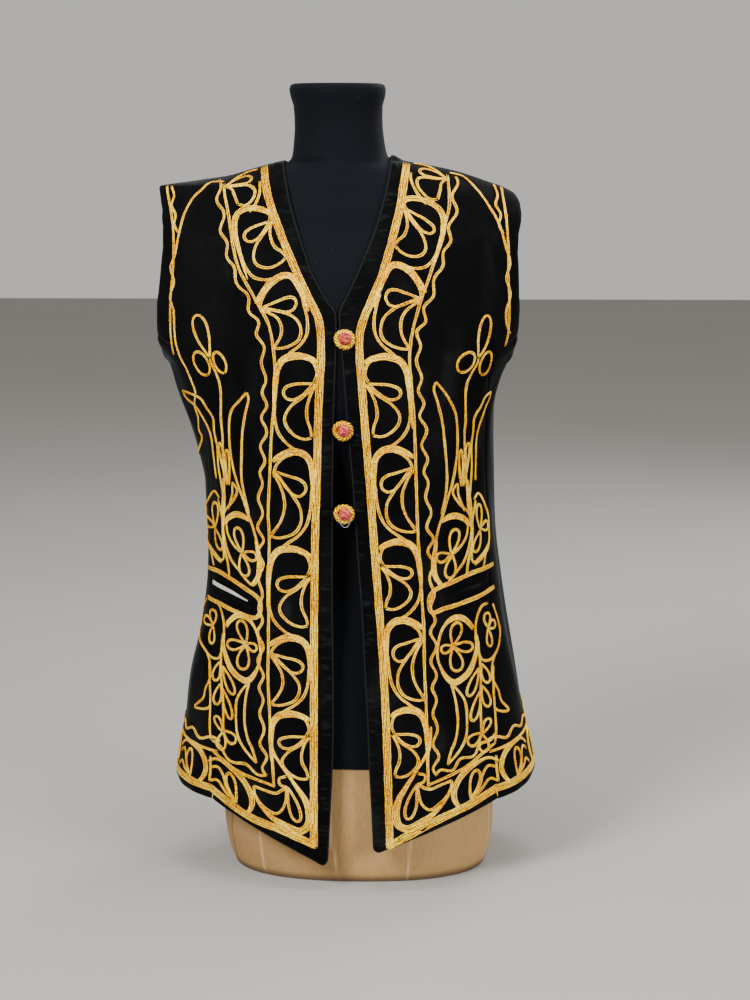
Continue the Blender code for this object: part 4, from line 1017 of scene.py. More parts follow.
# One leaf with its knot on the inner line: share across, share along, width
LEAF_IN = (
    ((0.015, 0.115, 4.6), (0.18, 0.06, 6.2), (0.45, 0.02, 7.6), (0.73, 0.045, 7.6),
     (0.91, 0.13, 7.2), (0.98, 0.28, 6.0), (1.0, 0.42, 4.8), (1.01, 0.56, 3.8)),
    ((0.50, 0.045, LINE), (0.30, 0.075, LINE), (0.15, 0.13, LINE), (0.07, 0.20, LINE),
     (0.06, 0.28, LINE)),
    ((0.08, 0.225, LINE), (0.24, 0.245, LINE), (0.44, 0.275, LINE), (0.66, 0.305, LINE),
     (0.80, 0.355, LINE), (0.82, 0.425, LINE), (0.70, 0.475, LINE), (0.52, 0.455, LINE),
     (0.34, 0.37, LINE), (0.18, 0.275, LINE), (0.08, 0.235, LINE)),
    ((0.05, 0.25, LINE), (0.18, 0.34, LINE), (0.31, 0.47, LINE), (0.34, 0.60, LINE),
     (0.27, 0.72, LINE), (0.14, 0.82, LINE), (0.02, 0.885, LINE)),
    ((0.02, 0.89, LINE), (0.20, 0.905, LINE), (0.43, 0.885, LINE), (0.64, 0.83, LINE),
     (0.74, 0.73, LINE), (0.72, 0.61, LINE), (0.58, 0.50, LINE), (0.40, 0.40, LINE),
     (0.22, 0.31, LINE), (0.07, 0.24, LINE)),
    ((0.965, 0.42, LINE), (0.945, 0.62, LINE), (0.86, 0.77, LINE), (0.68, 0.88, LINE),
     (0.42, 0.965, LINE), (0.20, 1.05, LINE), (0.10, 1.13, LINE)),
)
# The same leaf with its knot on the heavy band; it lies a little lower and rounder
LEAF_OUT = (
    ((0.01, 0.105, 4.6), (0.16, 0.055, 6.2), (0.46, 0.015, 7.6), (0.78, 0.045, 7.6),
     (0.94, 0.16, 7.2), (0.99, 0.32, 6.0), (1.00, 0.48, 4.8), (1.00, 0.66, 3.6), (1.00, 0.80, 2.4)),
    ((0.34, 0.045, LINE), (0.14, 0.085, LINE), (0.05, 0.16, LINE), (0.03, 0.24, LINE),
     (0.10, 0.31, LINE)),
    ((0.08, 0.325, LINE), (0.30, 0.322, LINE), (0.54, 0.325, LINE), (0.74, 0.355, LINE),
     (0.80, 0.41, LINE), (0.72, 0.47, LINE), (0.54, 0.485, LINE), (0.33, 0.435, LINE),
     (0.12, 0.34, LINE)),
    ((0.03, 0.33, LINE), (0.15, 0.43, LINE), (0.22, 0.55, LINE), (0.21, 0.68, LINE),
     (0.11, 0.79, LINE), (0.065, 0.88, LINE)),
    ((0.07, 0.885, LINE), (0.25, 0.895, LINE), (0.48, 0.85, LINE), (0.68, 0.755, LINE),
     (0.73, 0.65, LINE), (0.58, 0.54, LINE), (0.30, 0.445, LINE), (0.03, 0.33, LINE)),
    ((0.99, 0.52, LINE), (0.965, 0.68, LINE), (0.86, 0.82, LINE), (0.66, 0.93, LINE),
     (0.42, 1.01, LINE), (0.20, 1.09, LINE)),
)
# The first leaf below the shoulder has a rounder arch
LEAF_FIRST = (
    ((0.02, 0.20, 4.6), (0.10, 0.125, 6.2), (0.30, 0.06, 7.4), (0.55, 0.04, 7.6), (0.78, 0.09, 7.6),
     (0.92, 0.19, 7.2), (0.985, 0.33, 6.0), (1.00, 0.48, 4.8), (1.00, 0.66, 3.6),
      (1.00, 0.80, 2.4)),
    ((0.36, 0.07, LINE), (0.14, 0.135, LINE), (0.05, 0.20, LINE), (0.04, 0.26, LINE),
     (0.10, 0.31, LINE)),
) + LEAF_OUT[2:]
SHOULDER_LEAF = (
    ((0.04, 0.20, LINE), (0.28, 0.10, LINE), (0.60, 0.11, LINE), (0.76, 0.24, LINE),
     (0.66, 0.36, LINE), (0.36, 0.32, LINE), (0.04, 0.22, LINE)),
    ((0.04, 0.22, LINE), (0.34, 0.36, LINE), (0.66, 0.46, LINE), (0.80, 0.64, LINE),
     (0.70, 0.86, LINE), (0.46, 0.98, LINE), (0.28, 0.94, LINE)),
    ((0.04, 0.22, LINE), (0.20, 0.46, LINE), (0.24, 0.70, LINE), (0.28, 0.94, LINE)),
    ((0.98, 0.42, LINE), (0.92, 0.72, LINE), (0.72, 0.98, LINE), (0.50, 1.10, LINE)),
    ((0.04, 0.22, LINE), (0.30, 0.04, LINE), (0.62, 0.0, LINE), (0.95, 0.05, LINE)),
)
# Leaves above the hem of the left front: x, z, width
HEM_LEAF = (
    ((-156, 129, 3.4), (-145, 133, 3.4), (-130, 126, 5.1), (-118, 117, 6.8), (-110, 105, 6.8),
     (-107, 94, 6.8), (-109, 85, 5.6), (-114, 79, 4.4)),
    ((-153, 123, LINE), (-145, 124.5, LINE), (-139, 116, LINE), (-135, 104, LINE),
     (-124, 89, LINE)),
    ((-155, 108, LINE), (-146, 110.5, LINE), (-137, 100, LINE), (-124, 89, LINE)),
    ((-153, 135, LINE), (-153.5, 121, LINE), (-155, 107, LINE)),
)
CORNER_LEAF = (
    ((-84.5, 170, LINE), (-83, 150, LINE), (-76, 137, LINE), (-64, 120, 3.8), (-55, 107, 5.6),
     (-48.5, 96, 7.4),
     (-45.5, 83, 8.6), (-47.5, 71, 8.6), (-57, 64.5, 8.6), (-70, 69, 7.6), (-85, 77, 5.8),
     (-97, 88.5, 3.8), (-106, 105, 3.4)),
    ((-105, 110, LINE), (-103, 99, LINE), (-94, 88, LINE), (-82, 82, LINE), (-74, 88, LINE),
     (-70, 100, LINE), (-69, 112, LINE)),
    ((-105, 110, LINE), (-93, 106.5, LINE), (-82, 104, LINE), (-74, 108, LINE), (-69, 112, LINE)),
    ((-69.5, 123, LINE), (-77, 120, LINE), (-76, 113.5, LINE), (-68, 111, LINE)),
)
# knot x, z, far end x, z, half width of one drop on the hem and one in the corner
HEM_PETAL = (-125, 90, -133, 120, 5.5)
CORNER_PETAL = (-68, 111, -58, 75, 6.0)
# One short stitch of gold over the turned hem at the seam
SEAM_TICK = {
    -1: ((-151, 99), (-151.6, 94.5), (-152.6, 90)),
    1: ((152, 104), (152.8, 99), (153.6, 94)),
}
TICK_WIDE = 1.8
# Where the right spray leaves the plain mirror: by how much, x, half width, height, rise
RIGHT_RAISED = (12, 101, 13, 430, 90)
RIGHT_SHIFTED = (7, 137, 17, 490, 60)
# Shares of the half width: lines are kept up to the first, then drawn into the second
RIGHT_KEPT, RIGHT_DRAWN = 0.82, 0.145

# %% Border functions
class Border:
    """Maps shares across and along to the strip between inner line and edge band."""

    def __init__(self, stations):
        self.stations = np.array([[s[:2] for s in stations], [s[2:] for s in stations]], float)

    def spot(self, share, t):
        a = at_row(self.stations[0], np.array([t]))[0]
        b = at_row(self.stations[1], np.array([t]))[0]
        return a + (b - a) * share


def leaf_lines(border, k, tables, from_band):
    """Lines of one leaf between stations k and k + 1 of the border."""
    lines = []
    for table in tables:
        rows = []
        for across, along, width in table:
            x, z = border.spot(1 - across if from_band else across, k + along)
            rows.append((x, z, width))
        lines.append(np.array(rows))
    return lines


def ring_line(centre, wide, high, turn=0.0, width=LINE, pieces=16):
    """Closed oval line."""
    angle = np.linspace(0, 2 * math.pi, pieces + 1)
    x, z = wide * np.sin(angle), -high * np.cos(angle)
    c, s = math.cos(turn), math.sin(turn)
    return np.stack((centre[0] + x * c - z * s, centre[1] + x * s + z * c,
                     np.full(x.shape, width)), axis=1)


def petal(x, z, far_x, far_z, half, width=LINE):
    """A drop shaped loop from a knot to its round far end."""
    angle = np.linspace(0, 2 * math.pi, 17)
    along = 0.5 * (1 - np.cos(angle))
    ahead = np.array((far_x - x, far_z - z), float)
    aside = np.array((-ahead[1], ahead[0])) / np.linalg.norm(ahead)
    swell = 1.22 * half * np.sin(angle) * along ** 0.55
    flat = np.array((x, z)) + ahead * along[:, None] + aside * swell[:, None]
    return np.column_stack((flat, np.full(len(flat), width)))


def plain(rows, width=LINE):
    rows = np.array(rows, float)
    return np.column_stack((rows, np.full(len(rows), width)))


def wavy(rows, width=LINE):
    """Braid that swings either side of a middle line."""
    middle = spline(rows, 160)
    length = np.linalg.norm(np.diff(middle, axis=0), axis=1).sum()
    waves = max(1, round(length / WAVE_PITCH))
    ahead = np.gradient(middle, axis=0)
    ahead /= np.linalg.norm(ahead, axis=1, keepdims=True)
    at = np.linspace(0, waves * 2 * math.pi, len(middle))
    swing = WAVE_SWING * np.sin(at + 0.35 * np.sin(at / 2.7)) * (1 + 0.25 * np.sin(at / 4.1))
    return plain(middle + np.stack((-ahead[:, 1], ahead[:, 0]), axis=1) * swing[:, None], width)


def local(x, z, amount, at, half, low, rise):
    """An amount that fades out sideways from one x, and grows from a height upwards."""
    return amount * np.exp(-((x - at) / half) ** 2) * np.clip((z - low) / rise, 0, 1)


def mirrored(line, side):
    """A line of the left spray, or its mirror drawn in where the right front is narrower."""
    line = np.array(line, float)
    if side > 0:
        x, z = -line[:, 0], line[:, 1].copy()
        line[:, 1] += local(x, z, *RIGHT_RAISED)
        x = x + local(x, z, *RIGHT_SHIFTED)
        right = VEST.ring(z)[1]
        kept, drawn = RIGHT_KEPT * right, RIGHT_DRAWN * right
        line[:, 0] = np.minimum(x, kept) + drawn * np.tanh(np.maximum(x - kept, 0) / drawn)
    return line


def hem_mirrored(line, side):
    """A line above the left hem, or the same line above the right hem."""
    line = np.array(line, float)
    if side > 0:
        lift = table_at(BAND_HEM[1], -line[:, 0]) - table_at(BAND_HEM[-1], line[:, 0])
        line[:, 0] *= -1
        line[:, 1] += lift
    return line


def sewn(name, parts, nodes):
    """One gold piece from faces, lines of the pattern and strand sizes."""
    strands = []
    for face, lines, size, extra in parts:
        for line in lines:
            strands += strands_of(face, line, size, extra)
    piece = tubes(name, strands)
    metres = sum(np.linalg.norm(np.diff(c, axis=0), axis=1).sum() for c, _ in strands) * MM
    print(f"{name}: {len(strands)} strands, {metres:.1f} m of strand")
    return finished(piece, GOLD, "gold_cord", *nodes)

# %% Borders
for side, word in ((-1, "left"), (1, "right")):
    border = Border(STATIONS[side])
    lines = [plain(BAND_FRONT[side], BAND), plain(BAND_HEM[side], BAND),
             plain(LINE_FRONT[side]), plain(LINE_HEM[side])]
    for k in range(1, 8):
        from_band = k % 2 == 1
        tables = LEAF_OUT if from_band else LEAF_IN
        tables = LEAF_FIRST if k == 1 else tables
        lines += leaf_lines(border, k, tables[:-1] if k == 7 else tables, from_band)
    lines += leaf_lines(border, 0, SHOULDER_LEAF, False)
    lines += [hem_mirrored(table, side) for table in HEM_LEAF + CORNER_LEAF]
    lines.append(hem_mirrored(petal(*HEM_PETAL), side))
    lines.append(hem_mirrored(petal(*CORNER_PETAL), side))
    lines.append(plain(SEAM_TICK[side], TICK_WIDE))
    sewn("gold_border_" + word, [(FRONT_FACE, lines, 1.0, 0.0)], ["braid_border_" + word])

# %% [markdown]
# ## Sprays
#
# Outside the border grows a tall spray: horn leaves, ovals with a small three
# petalled flower, a spine with pairs of drop shaped leaves. The left front is
# drawn and the right one is its mirror, as it would be pounced through one paper
# pattern turned over.

# %% Tables of the sprays
FINE = 2.9               # two finer strands
FINE_SIZE = 0.86
# Lines of the left front: x and z of each bend, from the armhole to the hem
SPRAY_LINES = (
    # outer horn leaf
    ((-172, 524), (-159, 522.5), (-149, 519), (-143, 510), (-136, 499), (-135.5, 485),
     (-133, 468), (-133.5, 446), (-131, 422), (-129, 402)),
    ((-172, 524), (-167, 516), (-157, 510), (-150, 501), (-143, 489), (-139.5, 476),
     (-139, 455), (-138, 432)),
    # stem of the upper flower
    ((-136, 563), (-134, 556), (-129, 545), (-126, 530), (-127, 500), (-126, 480), (-127, 455),
     (-127.5, 430), (-130, 405), (-132, 386), (-131, 365), (-127, 345), (-125.5, 330)),
    # inner horn leaf, which runs on as the upper oval
    ((-98, 529), (-106, 520), (-114, 511), (-118, 498), (-118.5, 470), (-116, 448), (-112, 430),
     (-107, 415), (-101, 396), (-97, 384), (-93, 366), (-92, 350), (-93, 335), (-98, 324),
     (-105, 327), (-114, 337), (-123, 348), (-128, 362), (-131, 378), (-131, 390),
     (-128, 400), (-121, 408), (-115, 417), (-113, 424), (-118, 432)),
    ((-98, 529), (-96, 522), (-100, 507), (-104, 488), (-106, 465), (-107.5, 440), (-105.5, 420),
     (-101, 400)),
    ((-118, 432), (-119, 418), (-125, 401)),
    ((-127.5, 385), (-126, 375), (-121, 366), (-115, 360), (-110, 357)),
    # outer oval
    ((-135, 412), (-141, 418), (-149, 406), (-158, 392), (-160, 378), (-158, 364), (-150, 357),
     (-142, 350), (-134, 345), (-131, 350), (-131.5, 364), (-132, 388), (-134, 399), (-137, 411)),
    ((-150, 357), (-147, 348), (-144, 337)),
    # lower outer oval
    ((-155, 297), (-163, 280), (-167, 266), (-162, 252), (-155, 243), (-148, 239), (-140, 241),
     (-136, 252), (-133.5, 270), (-134.5, 284), (-140, 297), (-148, 299)),
    # lower horn leaf
    ((-108, 219), (-117, 208), (-122, 197), (-123, 178), (-121.5, 162), (-115, 150), (-107, 141),
     (-101, 135)),
    ((-107, 219), (-110, 208), (-112.5, 193), (-113, 176), (-110, 160), (-105, 149), (-101, 135)),
    # spine, and the outer leaf that hangs from the lower outer oval
    ((-136, 262), (-138, 228), (-137, 196), (-138, 163)),
    ((-155, 243), (-151, 233), (-151, 218), (-157, 205), (-160, 194), (-171, 181), (-156, 184),
     (-151, 190)),
    ((-152, 233), (-151.5, 200), (-153, 167), (-152, 152)),
)
# Doubled rows over the ovals: x, z, width
SPRAY_BANDS = (
    ((-128.5, 384, 4.6), (-126, 391, 6.2), (-117, 397, 6.6), (-108, 396.5, 6.0), (-99, 391, 2.9)),
    ((-95, 372, 2.9), (-91.5, 352, 5.8), (-93, 334, 5.8), (-101, 323, 2.9)),
    ((-158.5, 364, 2.9), (-152, 357, 5.8), (-143, 350, 6.0), (-134, 343, 4.4)),
    ((-128.5, 434, 3.4), (-129.5, 412, 6.6), (-131, 394, 5.8), (-132, 370, 2.9)),
    ((-131, 275, 5.6), (-126.5, 282, 6.2), (-118, 289, 6.4), (-108, 288.5, 5.4),
     (-99.5, 280.5, 3.6),
     (-94.5, 267, 2.9), (-93, 250, 2.9), (-97, 236, 3.6), (-103, 226, 5.4), (-110, 221, 6.8),
     (-118, 224, 6.8), (-126, 231, 6.8), (-131.5, 243, 5.8), (-134.5, 256, 5.2), (-134, 268, 5.2)),
)
SPRAY_RINGS = ((-145.5, 557, 7.6, 13.2, 0.46), (-125.5, 559, 6.0, 11.5, 0.40))
# knot x, z, far end x, z, half width of each drop
SPRAY_PETALS = (
    (-136, 564, -151, 607, 8.5),
    (-124, 428, -130, 474, 2.4), (-122, 428, -122, 467, 2.2),
    (-110, 357, -115, 383, 5.4), (-109, 357, -94.5, 353, 5.4), (-111, 356, -107, 332, 6.0),
    (-141, 379, -140, 406, 3.8), (-141, 380, -156, 382, 5.6), (-141, 378, -134.5, 356, 4.2),
    (-147, 273, -146, 289, 4.0), (-147, 273, -157, 277, 5.0), (-147, 272, -149.5, 253, 3.4),
    (-109, 260, -114.5, 284, 6.2), (-109, 260, -130, 256, 5.6), (-109, 260, -97, 256, 4.6),
    (-109, 259, -114.5, 233, 7.0),
    (-136, 233, -125, 205, 4.6), (-137, 209, -129, 178, 4.2),
    (-139, 237, -146, 216, 4.4), (-139, 214, -145.5, 191, 4.4), (-139, 163, -146, 178, 3.8),
    (-138, 164, -124.5, 154, 6.0), (-138, 163, -142, 144, 5.2),
)
POCKET_FRAME = {
    -1: ((-153, 331.5), (-137, 332), (-118, 324), (-99, 314), (-92.5, 307.5), (-91.5, 298),
         (-95, 290.5), (-103, 289), (-121, 293), (-137, 297.5), (-154, 300)),
    1: ((154, 338), (133, 334.5), (110, 327.5), (92, 320.5), (86.5, 313), (86, 303), (89.5, 296.5),
        (102, 300.5), (122, 304.5), (138, 308.5), (154, 314)),
}

# %% Sprays
for side, word in ((-1, "left"), (1, "right")):
    waves = [wavy(WAVE[side]), wavy(WAVE_HEM[side])]
    frame_rows = [plain(POCKET_FRAME[side], 5.0)]
    fine = [mirrored(plain(rows, FINE), side) for rows in SPRAY_LINES]
    fine += [mirrored(rows, side) for rows in SPRAY_BANDS]
    fine += [mirrored(ring_line((x, z), wide, high, turn, FINE), side)
             for x, z, wide, high, turn in SPRAY_RINGS]
    fine += [mirrored(petal(*row, FINE), side) for row in SPRAY_PETALS]
    sewn("gold_spray_" + word, [(FRONT_FACE, waves + frame_rows, 0.95, 0.0),
                                (FRONT_FACE, fine, FINE_SIZE, 0.15)], ["braid_spray_" + word])

# %% [markdown]
# ## Armholes, hem and neck
#
# A straight braid runs down beside each armhole with an arc from the shoulder to
# it, and the heavy band goes on round the side panels, the back hem and the neck.

# %% Armhole lines, hem bands and neck band
ARM_LINE = {
    -1: ((-184.5, 739.2), (-181, 725), (-177.4, 711), (-174.7, 688), (-174.9, 655), (-177.5, 632),
         (-179.5, 608), (-180.5, 590), (-180, 574), (-178.5, 563)),
    1: ((171, 738.2), (173.5, 722), (175.3, 706), (176.8, 675), (176, 648), (176.5, 622),
        (176, 600), (175, 586), (172, 573)),
}
# From the shoulder knot past the armhole line and down to the outer horn leaf
ARM_ARC = {
    -1: ((-121, 744), (-136, 742.5), (-145, 735), (-154, 726.3), (-163, 709.7), (-168.5, 690),
         (-173, 668), (-178, 655), (-174, 640), (-179, 625), (-175.5, 610), (-176, 591),
         (-175, 576), (-170, 561), (-164, 550), (-159, 538), (-155, 525), (-158, 510),
         (-155.5, 498), (-156, 484), (-153, 473), (-161, 452)),
    1: ((117, 753), (132, 748.5), (146, 735), (157.8, 718.3), (168.3, 698.7), (174.5, 676),
        (178.5, 660), (174, 645), (178, 628), (173.5, 612), (173.5, 597),
        (177.5, 586)),
}
ARM_WAVE = {
    -1: ((-179, 739), (-175, 729), (-177.5, 719), (-172.5, 709), (-174, 700), (-170, 692)),
    1: ((163, 741), (167, 730), (164.5, 720), (169.5, 710), (167.5, 700), (172, 690)),
}
SIDE_BAND_RISE = 12.0
SIDE_LINE_RISE = 52.0
SIDE_WAVE_RISE = 63.0
SIDE_RUN = (0.3, 172)    # distances from the side-front seam where the hem band starts and ends
SIDE_LEAVES = 3
SIDE_LEAF = 56.0         # length of one leaf along the side hem
LEAF_ROOT = 156          # sideways distance of the hem leaf's root in its table
NECK_BAND_ENDS = (-76, 71)
NECK_BAND_DROP = 14.0
NECK_BAND_TOP = 768.0


def side_hem(side, run, rise):
    """Depth and height on a side panel at a distance from its front seam."""
    front = side_front_line(side, np.array([0.0]))[0]
    back = side_back_line(side, np.array([0.0]))[0]
    share = np.asarray(run, float) / (back[1] - front[1])
    return front[1] + np.asarray(run, float), front[2] + (back[2] - front[2]) * share + rise


for side, word in ((-1, "left"), (1, "right")):
    lines = [plain(ARM_LINE[side], 3.4), plain(ARM_ARC[side], FINE), plain(ARM_WAVE[side], FINE)]
    sewn("gold_armhole_" + word, [(FRONT_FACE, lines, 0.9, 0.0)], ["braid_armhole_" + word])
    run = np.linspace(*SIDE_RUN, 19)
    lines = [plain(np.stack(side_hem(side, run, SIDE_BAND_RISE), axis=1), BAND),
             plain(np.stack(side_hem(side, run, SIDE_LINE_RISE), axis=1)),
             wavy(np.stack(side_hem(side, run, SIDE_WAVE_RISE), axis=1))]
    for start in range(SIDE_LEAVES):
        for table in HEM_LEAF[:3] + (petal(*HEM_PETAL),):
            table = np.array(table, float)
            along = (start + 1) * SIDE_LEAF - (table[:, 0] + LEAF_ROOT)
            rise = table[:, 1] - table_at(BAND_HEM[-1], table[:, 0]) + SIDE_BAND_RISE
            y, z = side_hem(side, along, rise)
            lines.append(np.stack((y, z, table[:, 2]), axis=1))
    sewn("gold_hem_side_" + word, [(Face("side", side), lines, 1.0, 0.0)],
         ["braid_hem_side_" + word])

ends = {side: side_back_line(side, np.array([0.7]))[0] for side in (-1, 1)}
share = 0.5 * (1 - np.cos(np.linspace(0, math.pi, 31)))
x = ends[-1][0] + 1 + (ends[1][0] - ends[-1][0] - 2) * share
z = SIDE_BACK_HEIGHT[-1][0] + (SIDE_BACK_HEIGHT[1][0] - SIDE_BACK_HEIGHT[-1][0]) * share
lines = [plain(np.stack((x, z + SIDE_BAND_RISE), axis=1), BAND),
         plain(np.stack((x, z + SIDE_LINE_RISE), axis=1)),
         wavy(np.stack((x, z + SIDE_WAVE_RISE), axis=1))]
sewn("gold_hem_back", [(Face("back"), lines, 1.0, 0.0)], ["braid_hem_back"])

x = NECK_BAND_ENDS[0] + (NECK_BAND_ENDS[1] - NECK_BAND_ENDS[0]) * share
neck = np.where(x < 0, NECK_POINT[-1][0], NECK_POINT[1][0])
out = np.minimum(np.abs(x) / (neck + NECK_BAND_DROP), 1.0)
height = np.where(out >= 1, shoulder_height(x), NECK_BAND_TOP)
middle = 770.0 - NECK_DIP - NECK_BAND_DROP
z = middle + (height - 5 - middle) * out ** 2.6
sewn("gold_neck_back", [(Face("back"), [plain(np.stack((x, z), axis=1), BAND)], 1.0, 0.3)],
     ["braid_neck_back"])

# %% [markdown]
# ## Pockets
#
# Above each slit lies a velvet welt, and in the left slit the pale lining shows.
# Both are narrow strips laid on the front.

# %% Pocket welts and lining
WELT = {
    -1: ((-148, 309.5, 7.5), (-126, 304.5, 7.5), (-102, 296.5, 7.0)),
    1: ((148, 320.5, 7.5), (122, 314.5, 7.5), (96, 306.0, 7.0)),
}
LINING = ((-146, 318.5, 4.5), (-128, 314.0, 4.0), (-106, 306.0, 1.6))
STRIP_RIM = 9.0          # past the turned edge, so a strip shows plain pile
STRIP_THICK = 0.0006     # metres


def strip(name, rows, crown, lift, columns=8, pieces=40):
    """A narrow strip on the front, raised in its middle by crown."""
    rows = spline(rows, pieces)
    base = VEST.on_face(rows[:, 0], rows[:, 1])
    out = VEST.normal(base)
    across = np.cross(out, np.gradient(base, axis=0))
    across /= np.linalg.norm(across, axis=1, keepdims=True)
    t = np.linspace(-0.5, 0.5, columns + 1)
    grid = base[:, None] + across[:, None] * (rows[:, 2:3] * t)[..., None]
    rise = lift + crown * (1 - (2 * t) ** 2)[None, :] + 0.15 * np.sin(rows[:, :1] / 3.1)
    points = grid + VEST.normal(grid) * (crease(grid) + rise)[..., None]
    piece, r, _ = laid(name, points, (0, -1, 0))
    mark(piece, "rim", np.full(len(r), STRIP_RIM))
    thicken(piece, STRIP_THICK)
    return piece


def lining_paint():
    paint = Paint("pale lining", 0.85)
    weave = paint.noise(900, 2.0, stretch=(1, 1, 0.3))
    stain = paint.noise(90, 3.0)
    colour = paint.ramp(weave * 0.5 + stain * 0.5, (0.3, (0.26, 0.22, 0.18)),
                        (0.7, (0.50, 0.46, 0.41)))
    return paint.show(colour, weave, 0.0003, 0.6)


for side, word in ((-1, "left"), (1, "right")):
    piece = strip("velvet_welt_" + word, WELT[side], 0.7, 0.7)
    finished(piece, VELVET_LOOK, "black_velvet", "pocket_welt_" + word)
piece = strip("pocket_lining", LINING, 0.2, 0.7)
finished(piece, lining_paint(), "pale_lining", "pocket_lining_left")

# %% [markdown]
# ## Buttons and loops
#
# Each button is a small ball wound with rose thread, caught in a loop of gold cord
# that is wrapped round and round. The ball is a sphere with rings of thread in
# every direction; the loop is three strands that wind about one ring.

# %% Buttons and loops
BUTTONS = (("top", 7.0, 585.0, 4.5), ("middle", 3.0, 492.0, 0.5), ("bottom", 1.0, 404.0, -1.0))
BUTTON_RADIUS = 6.3
BUTTON_LIFT = 7.5
LOOP_RADIUS = 7.9
LOOP_LIFT = 3.2
LOOP_WIDER = 1.04
LOOP_STRANDS = 3
LOOP_TURNS = 5           # how often each strand winds about the loop's ring
LOOP_SWELL = 1.6         # radius of that winding
LOOP_CORD = (1.45, 1.35)
THREADS = 22
THREAD_HALF = 0.42
LOOSE_HALF = 0.30
LOOSE_RADIUS = 5.4


def hub_of(x, z):
    """A point of the front with its outward, upward and sideways directions."""
    hub = VEST.on_face(np.array([x]), np.array([z]))
    out = VEST.normal(hub)[0]
    up = np.array((0.0, 0.0, 1.0)) - out * out[2]
    up /= np.linalg.norm(up)
    return hub[0], out, up, np.cross(up, out)


def rose_paint():
    paint = Paint("rose thread", 0.55, Specular_IOR_Level=0.12)
    run, tone = paint.field("run"), paint.field("tone")
    twist = (run * 5.0).sine() * 0.5 + 0.5
    cloud = paint.noise(420, 3.0)
    colour = paint.ramp(cloud * 0.35 + tone * 0.65, (0.22, (0.16, 0.004, 0.016)),
                        (0.42, (0.46, 0.022, 0.050)), (0.60, (0.62, 0.130, 0.110)),
                        (0.80, (0.60, 0.26, 0.035)))
    return paint.show(colour, twist + cloud, 0.0003, 0.7)


ROSE = rose_paint()


def wound_ball(centre, radius, seed):
    """Rings of thread round a ball, each tilted its own way."""
    spin = np.random.default_rng(seed)
    strands = []
    for k in range(THREADS):
        a = spin.normal(size=3)
        a /= np.linalg.norm(a)
        b = np.cross(a, (0.3, 0.5, 0.81))
        b /= np.linalg.norm(b)
        c = np.cross(a, b)
        turn = np.linspace(0, 2 * math.pi, 26)[:, None]
        out = b * np.cos(turn) + c * np.sin(turn)
        tilt = 0.22 * spin.uniform(-1, 1)
        out = out * math.cos(tilt) + a * math.sin(tilt)
        strands.append((centre + out * (radius - 0.25 + 0.05 * k / THREADS), out))
    return strands


for word, x, z, loop_x in BUTTONS:
    hub, out, up, aside = hub_of(x, z)
    centre = hub + out * BUTTON_LIFT
    none_selected()
    core = placed(centre[None])[0]
    bpy.ops.mesh.primitive_uv_sphere_add(segments=28, ring_count=16, radius=BUTTON_RADIUS * MM,
                                         location=core)
    ball = bpy.context.object
    bpy.ops.object.transform_apply(location=True, rotation=True, scale=True)
    bpy.ops.object.shade_smooth()
    mark(ball, "run", np.zeros(len(ball.data.vertices)))
    mark(ball, "tone", np.full(len(ball.data.vertices), 0.2))
    thread = tubes("thread", wound_ball(centre, BUTTON_RADIUS, 7 + len(word)), 5,
                   THREAD_HALF, THREAD_HALF)
    alone(ball)
    thread.select_set(True)
    bpy.context.view_layer.objects.active = ball
    bpy.ops.object.join()
    ball.name = "wound_button_" + word
    finished(ball, ROSE, "rose_thread", "button_" + word)

    middle = VEST.on_face(np.array([0.5 * (loop_x + x)]), np.array([z - 0.5]))[0] + out * LOOP_LIFT
    strands = []
    turn = np.linspace(0, 2 * math.pi, 120)[:, None]
    for k in range(LOOP_STRANDS):
        roll = turn * LOOP_TURNS + k * 2 * math.pi / LOOP_STRANDS
        around = aside * LOOP_WIDER * np.cos(turn) + up * np.sin(turn)
        swell = LOOP_SWELL + 0.25 * np.sin(turn * 8 + 2 * k)
        line = middle + around * (LOOP_RADIUS + swell * np.cos(roll)) + out * swell * np.sin(roll)
        face_out = around * np.cos(roll) + out * np.sin(roll)
        strands.append((line, face_out / np.linalg.norm(face_out, axis=1, keepdims=True)))
    loop = tubes("gold_loop_" + word, strands, 8, *LOOP_CORD)
    finished(loop, GOLD, "gold_cord", "loop_" + word)

# A loose grey thread hangs in a ring from the last button
paint = Paint("grey thread", 0.7)
paint.show(paint.ramp(paint.noise(600), (0.3, (0.16, 0.155, 0.165)), (0.7, (0.40, 0.39, 0.41))))
turn = np.linspace(0, 2 * math.pi, 49)[:, None]
middle = centre - out * 1.0 - up * 8.0
ring = aside * np.cos(turn) + up * np.sin(turn)
ring = middle + ring * (LOOSE_RADIUS + 0.5 * np.sin(3 * turn)) + out * 0.8 * np.sin(2 * turn)
loose = tubes("loose_thread", [(ring, np.repeat(out[None], len(ring), axis=0))], 5,
              LOOSE_HALF, LOOSE_HALF)
finished(loose, paint.material, "rose_thread")

# %% [markdown]
# ## The dress form
#
# The form is a papered torso with a knitted cover pulled tight over it and cut
# straight above the hem. A lathe would give it a round section, so instead a grid
# is wrapped round the rings. Cover and body are two pieces with a small step.

# %% Form body and cover
COVER_EDGE = 127
COVER_WALL = 1.2
COVER_GAP = 0.3
AROUND = 128


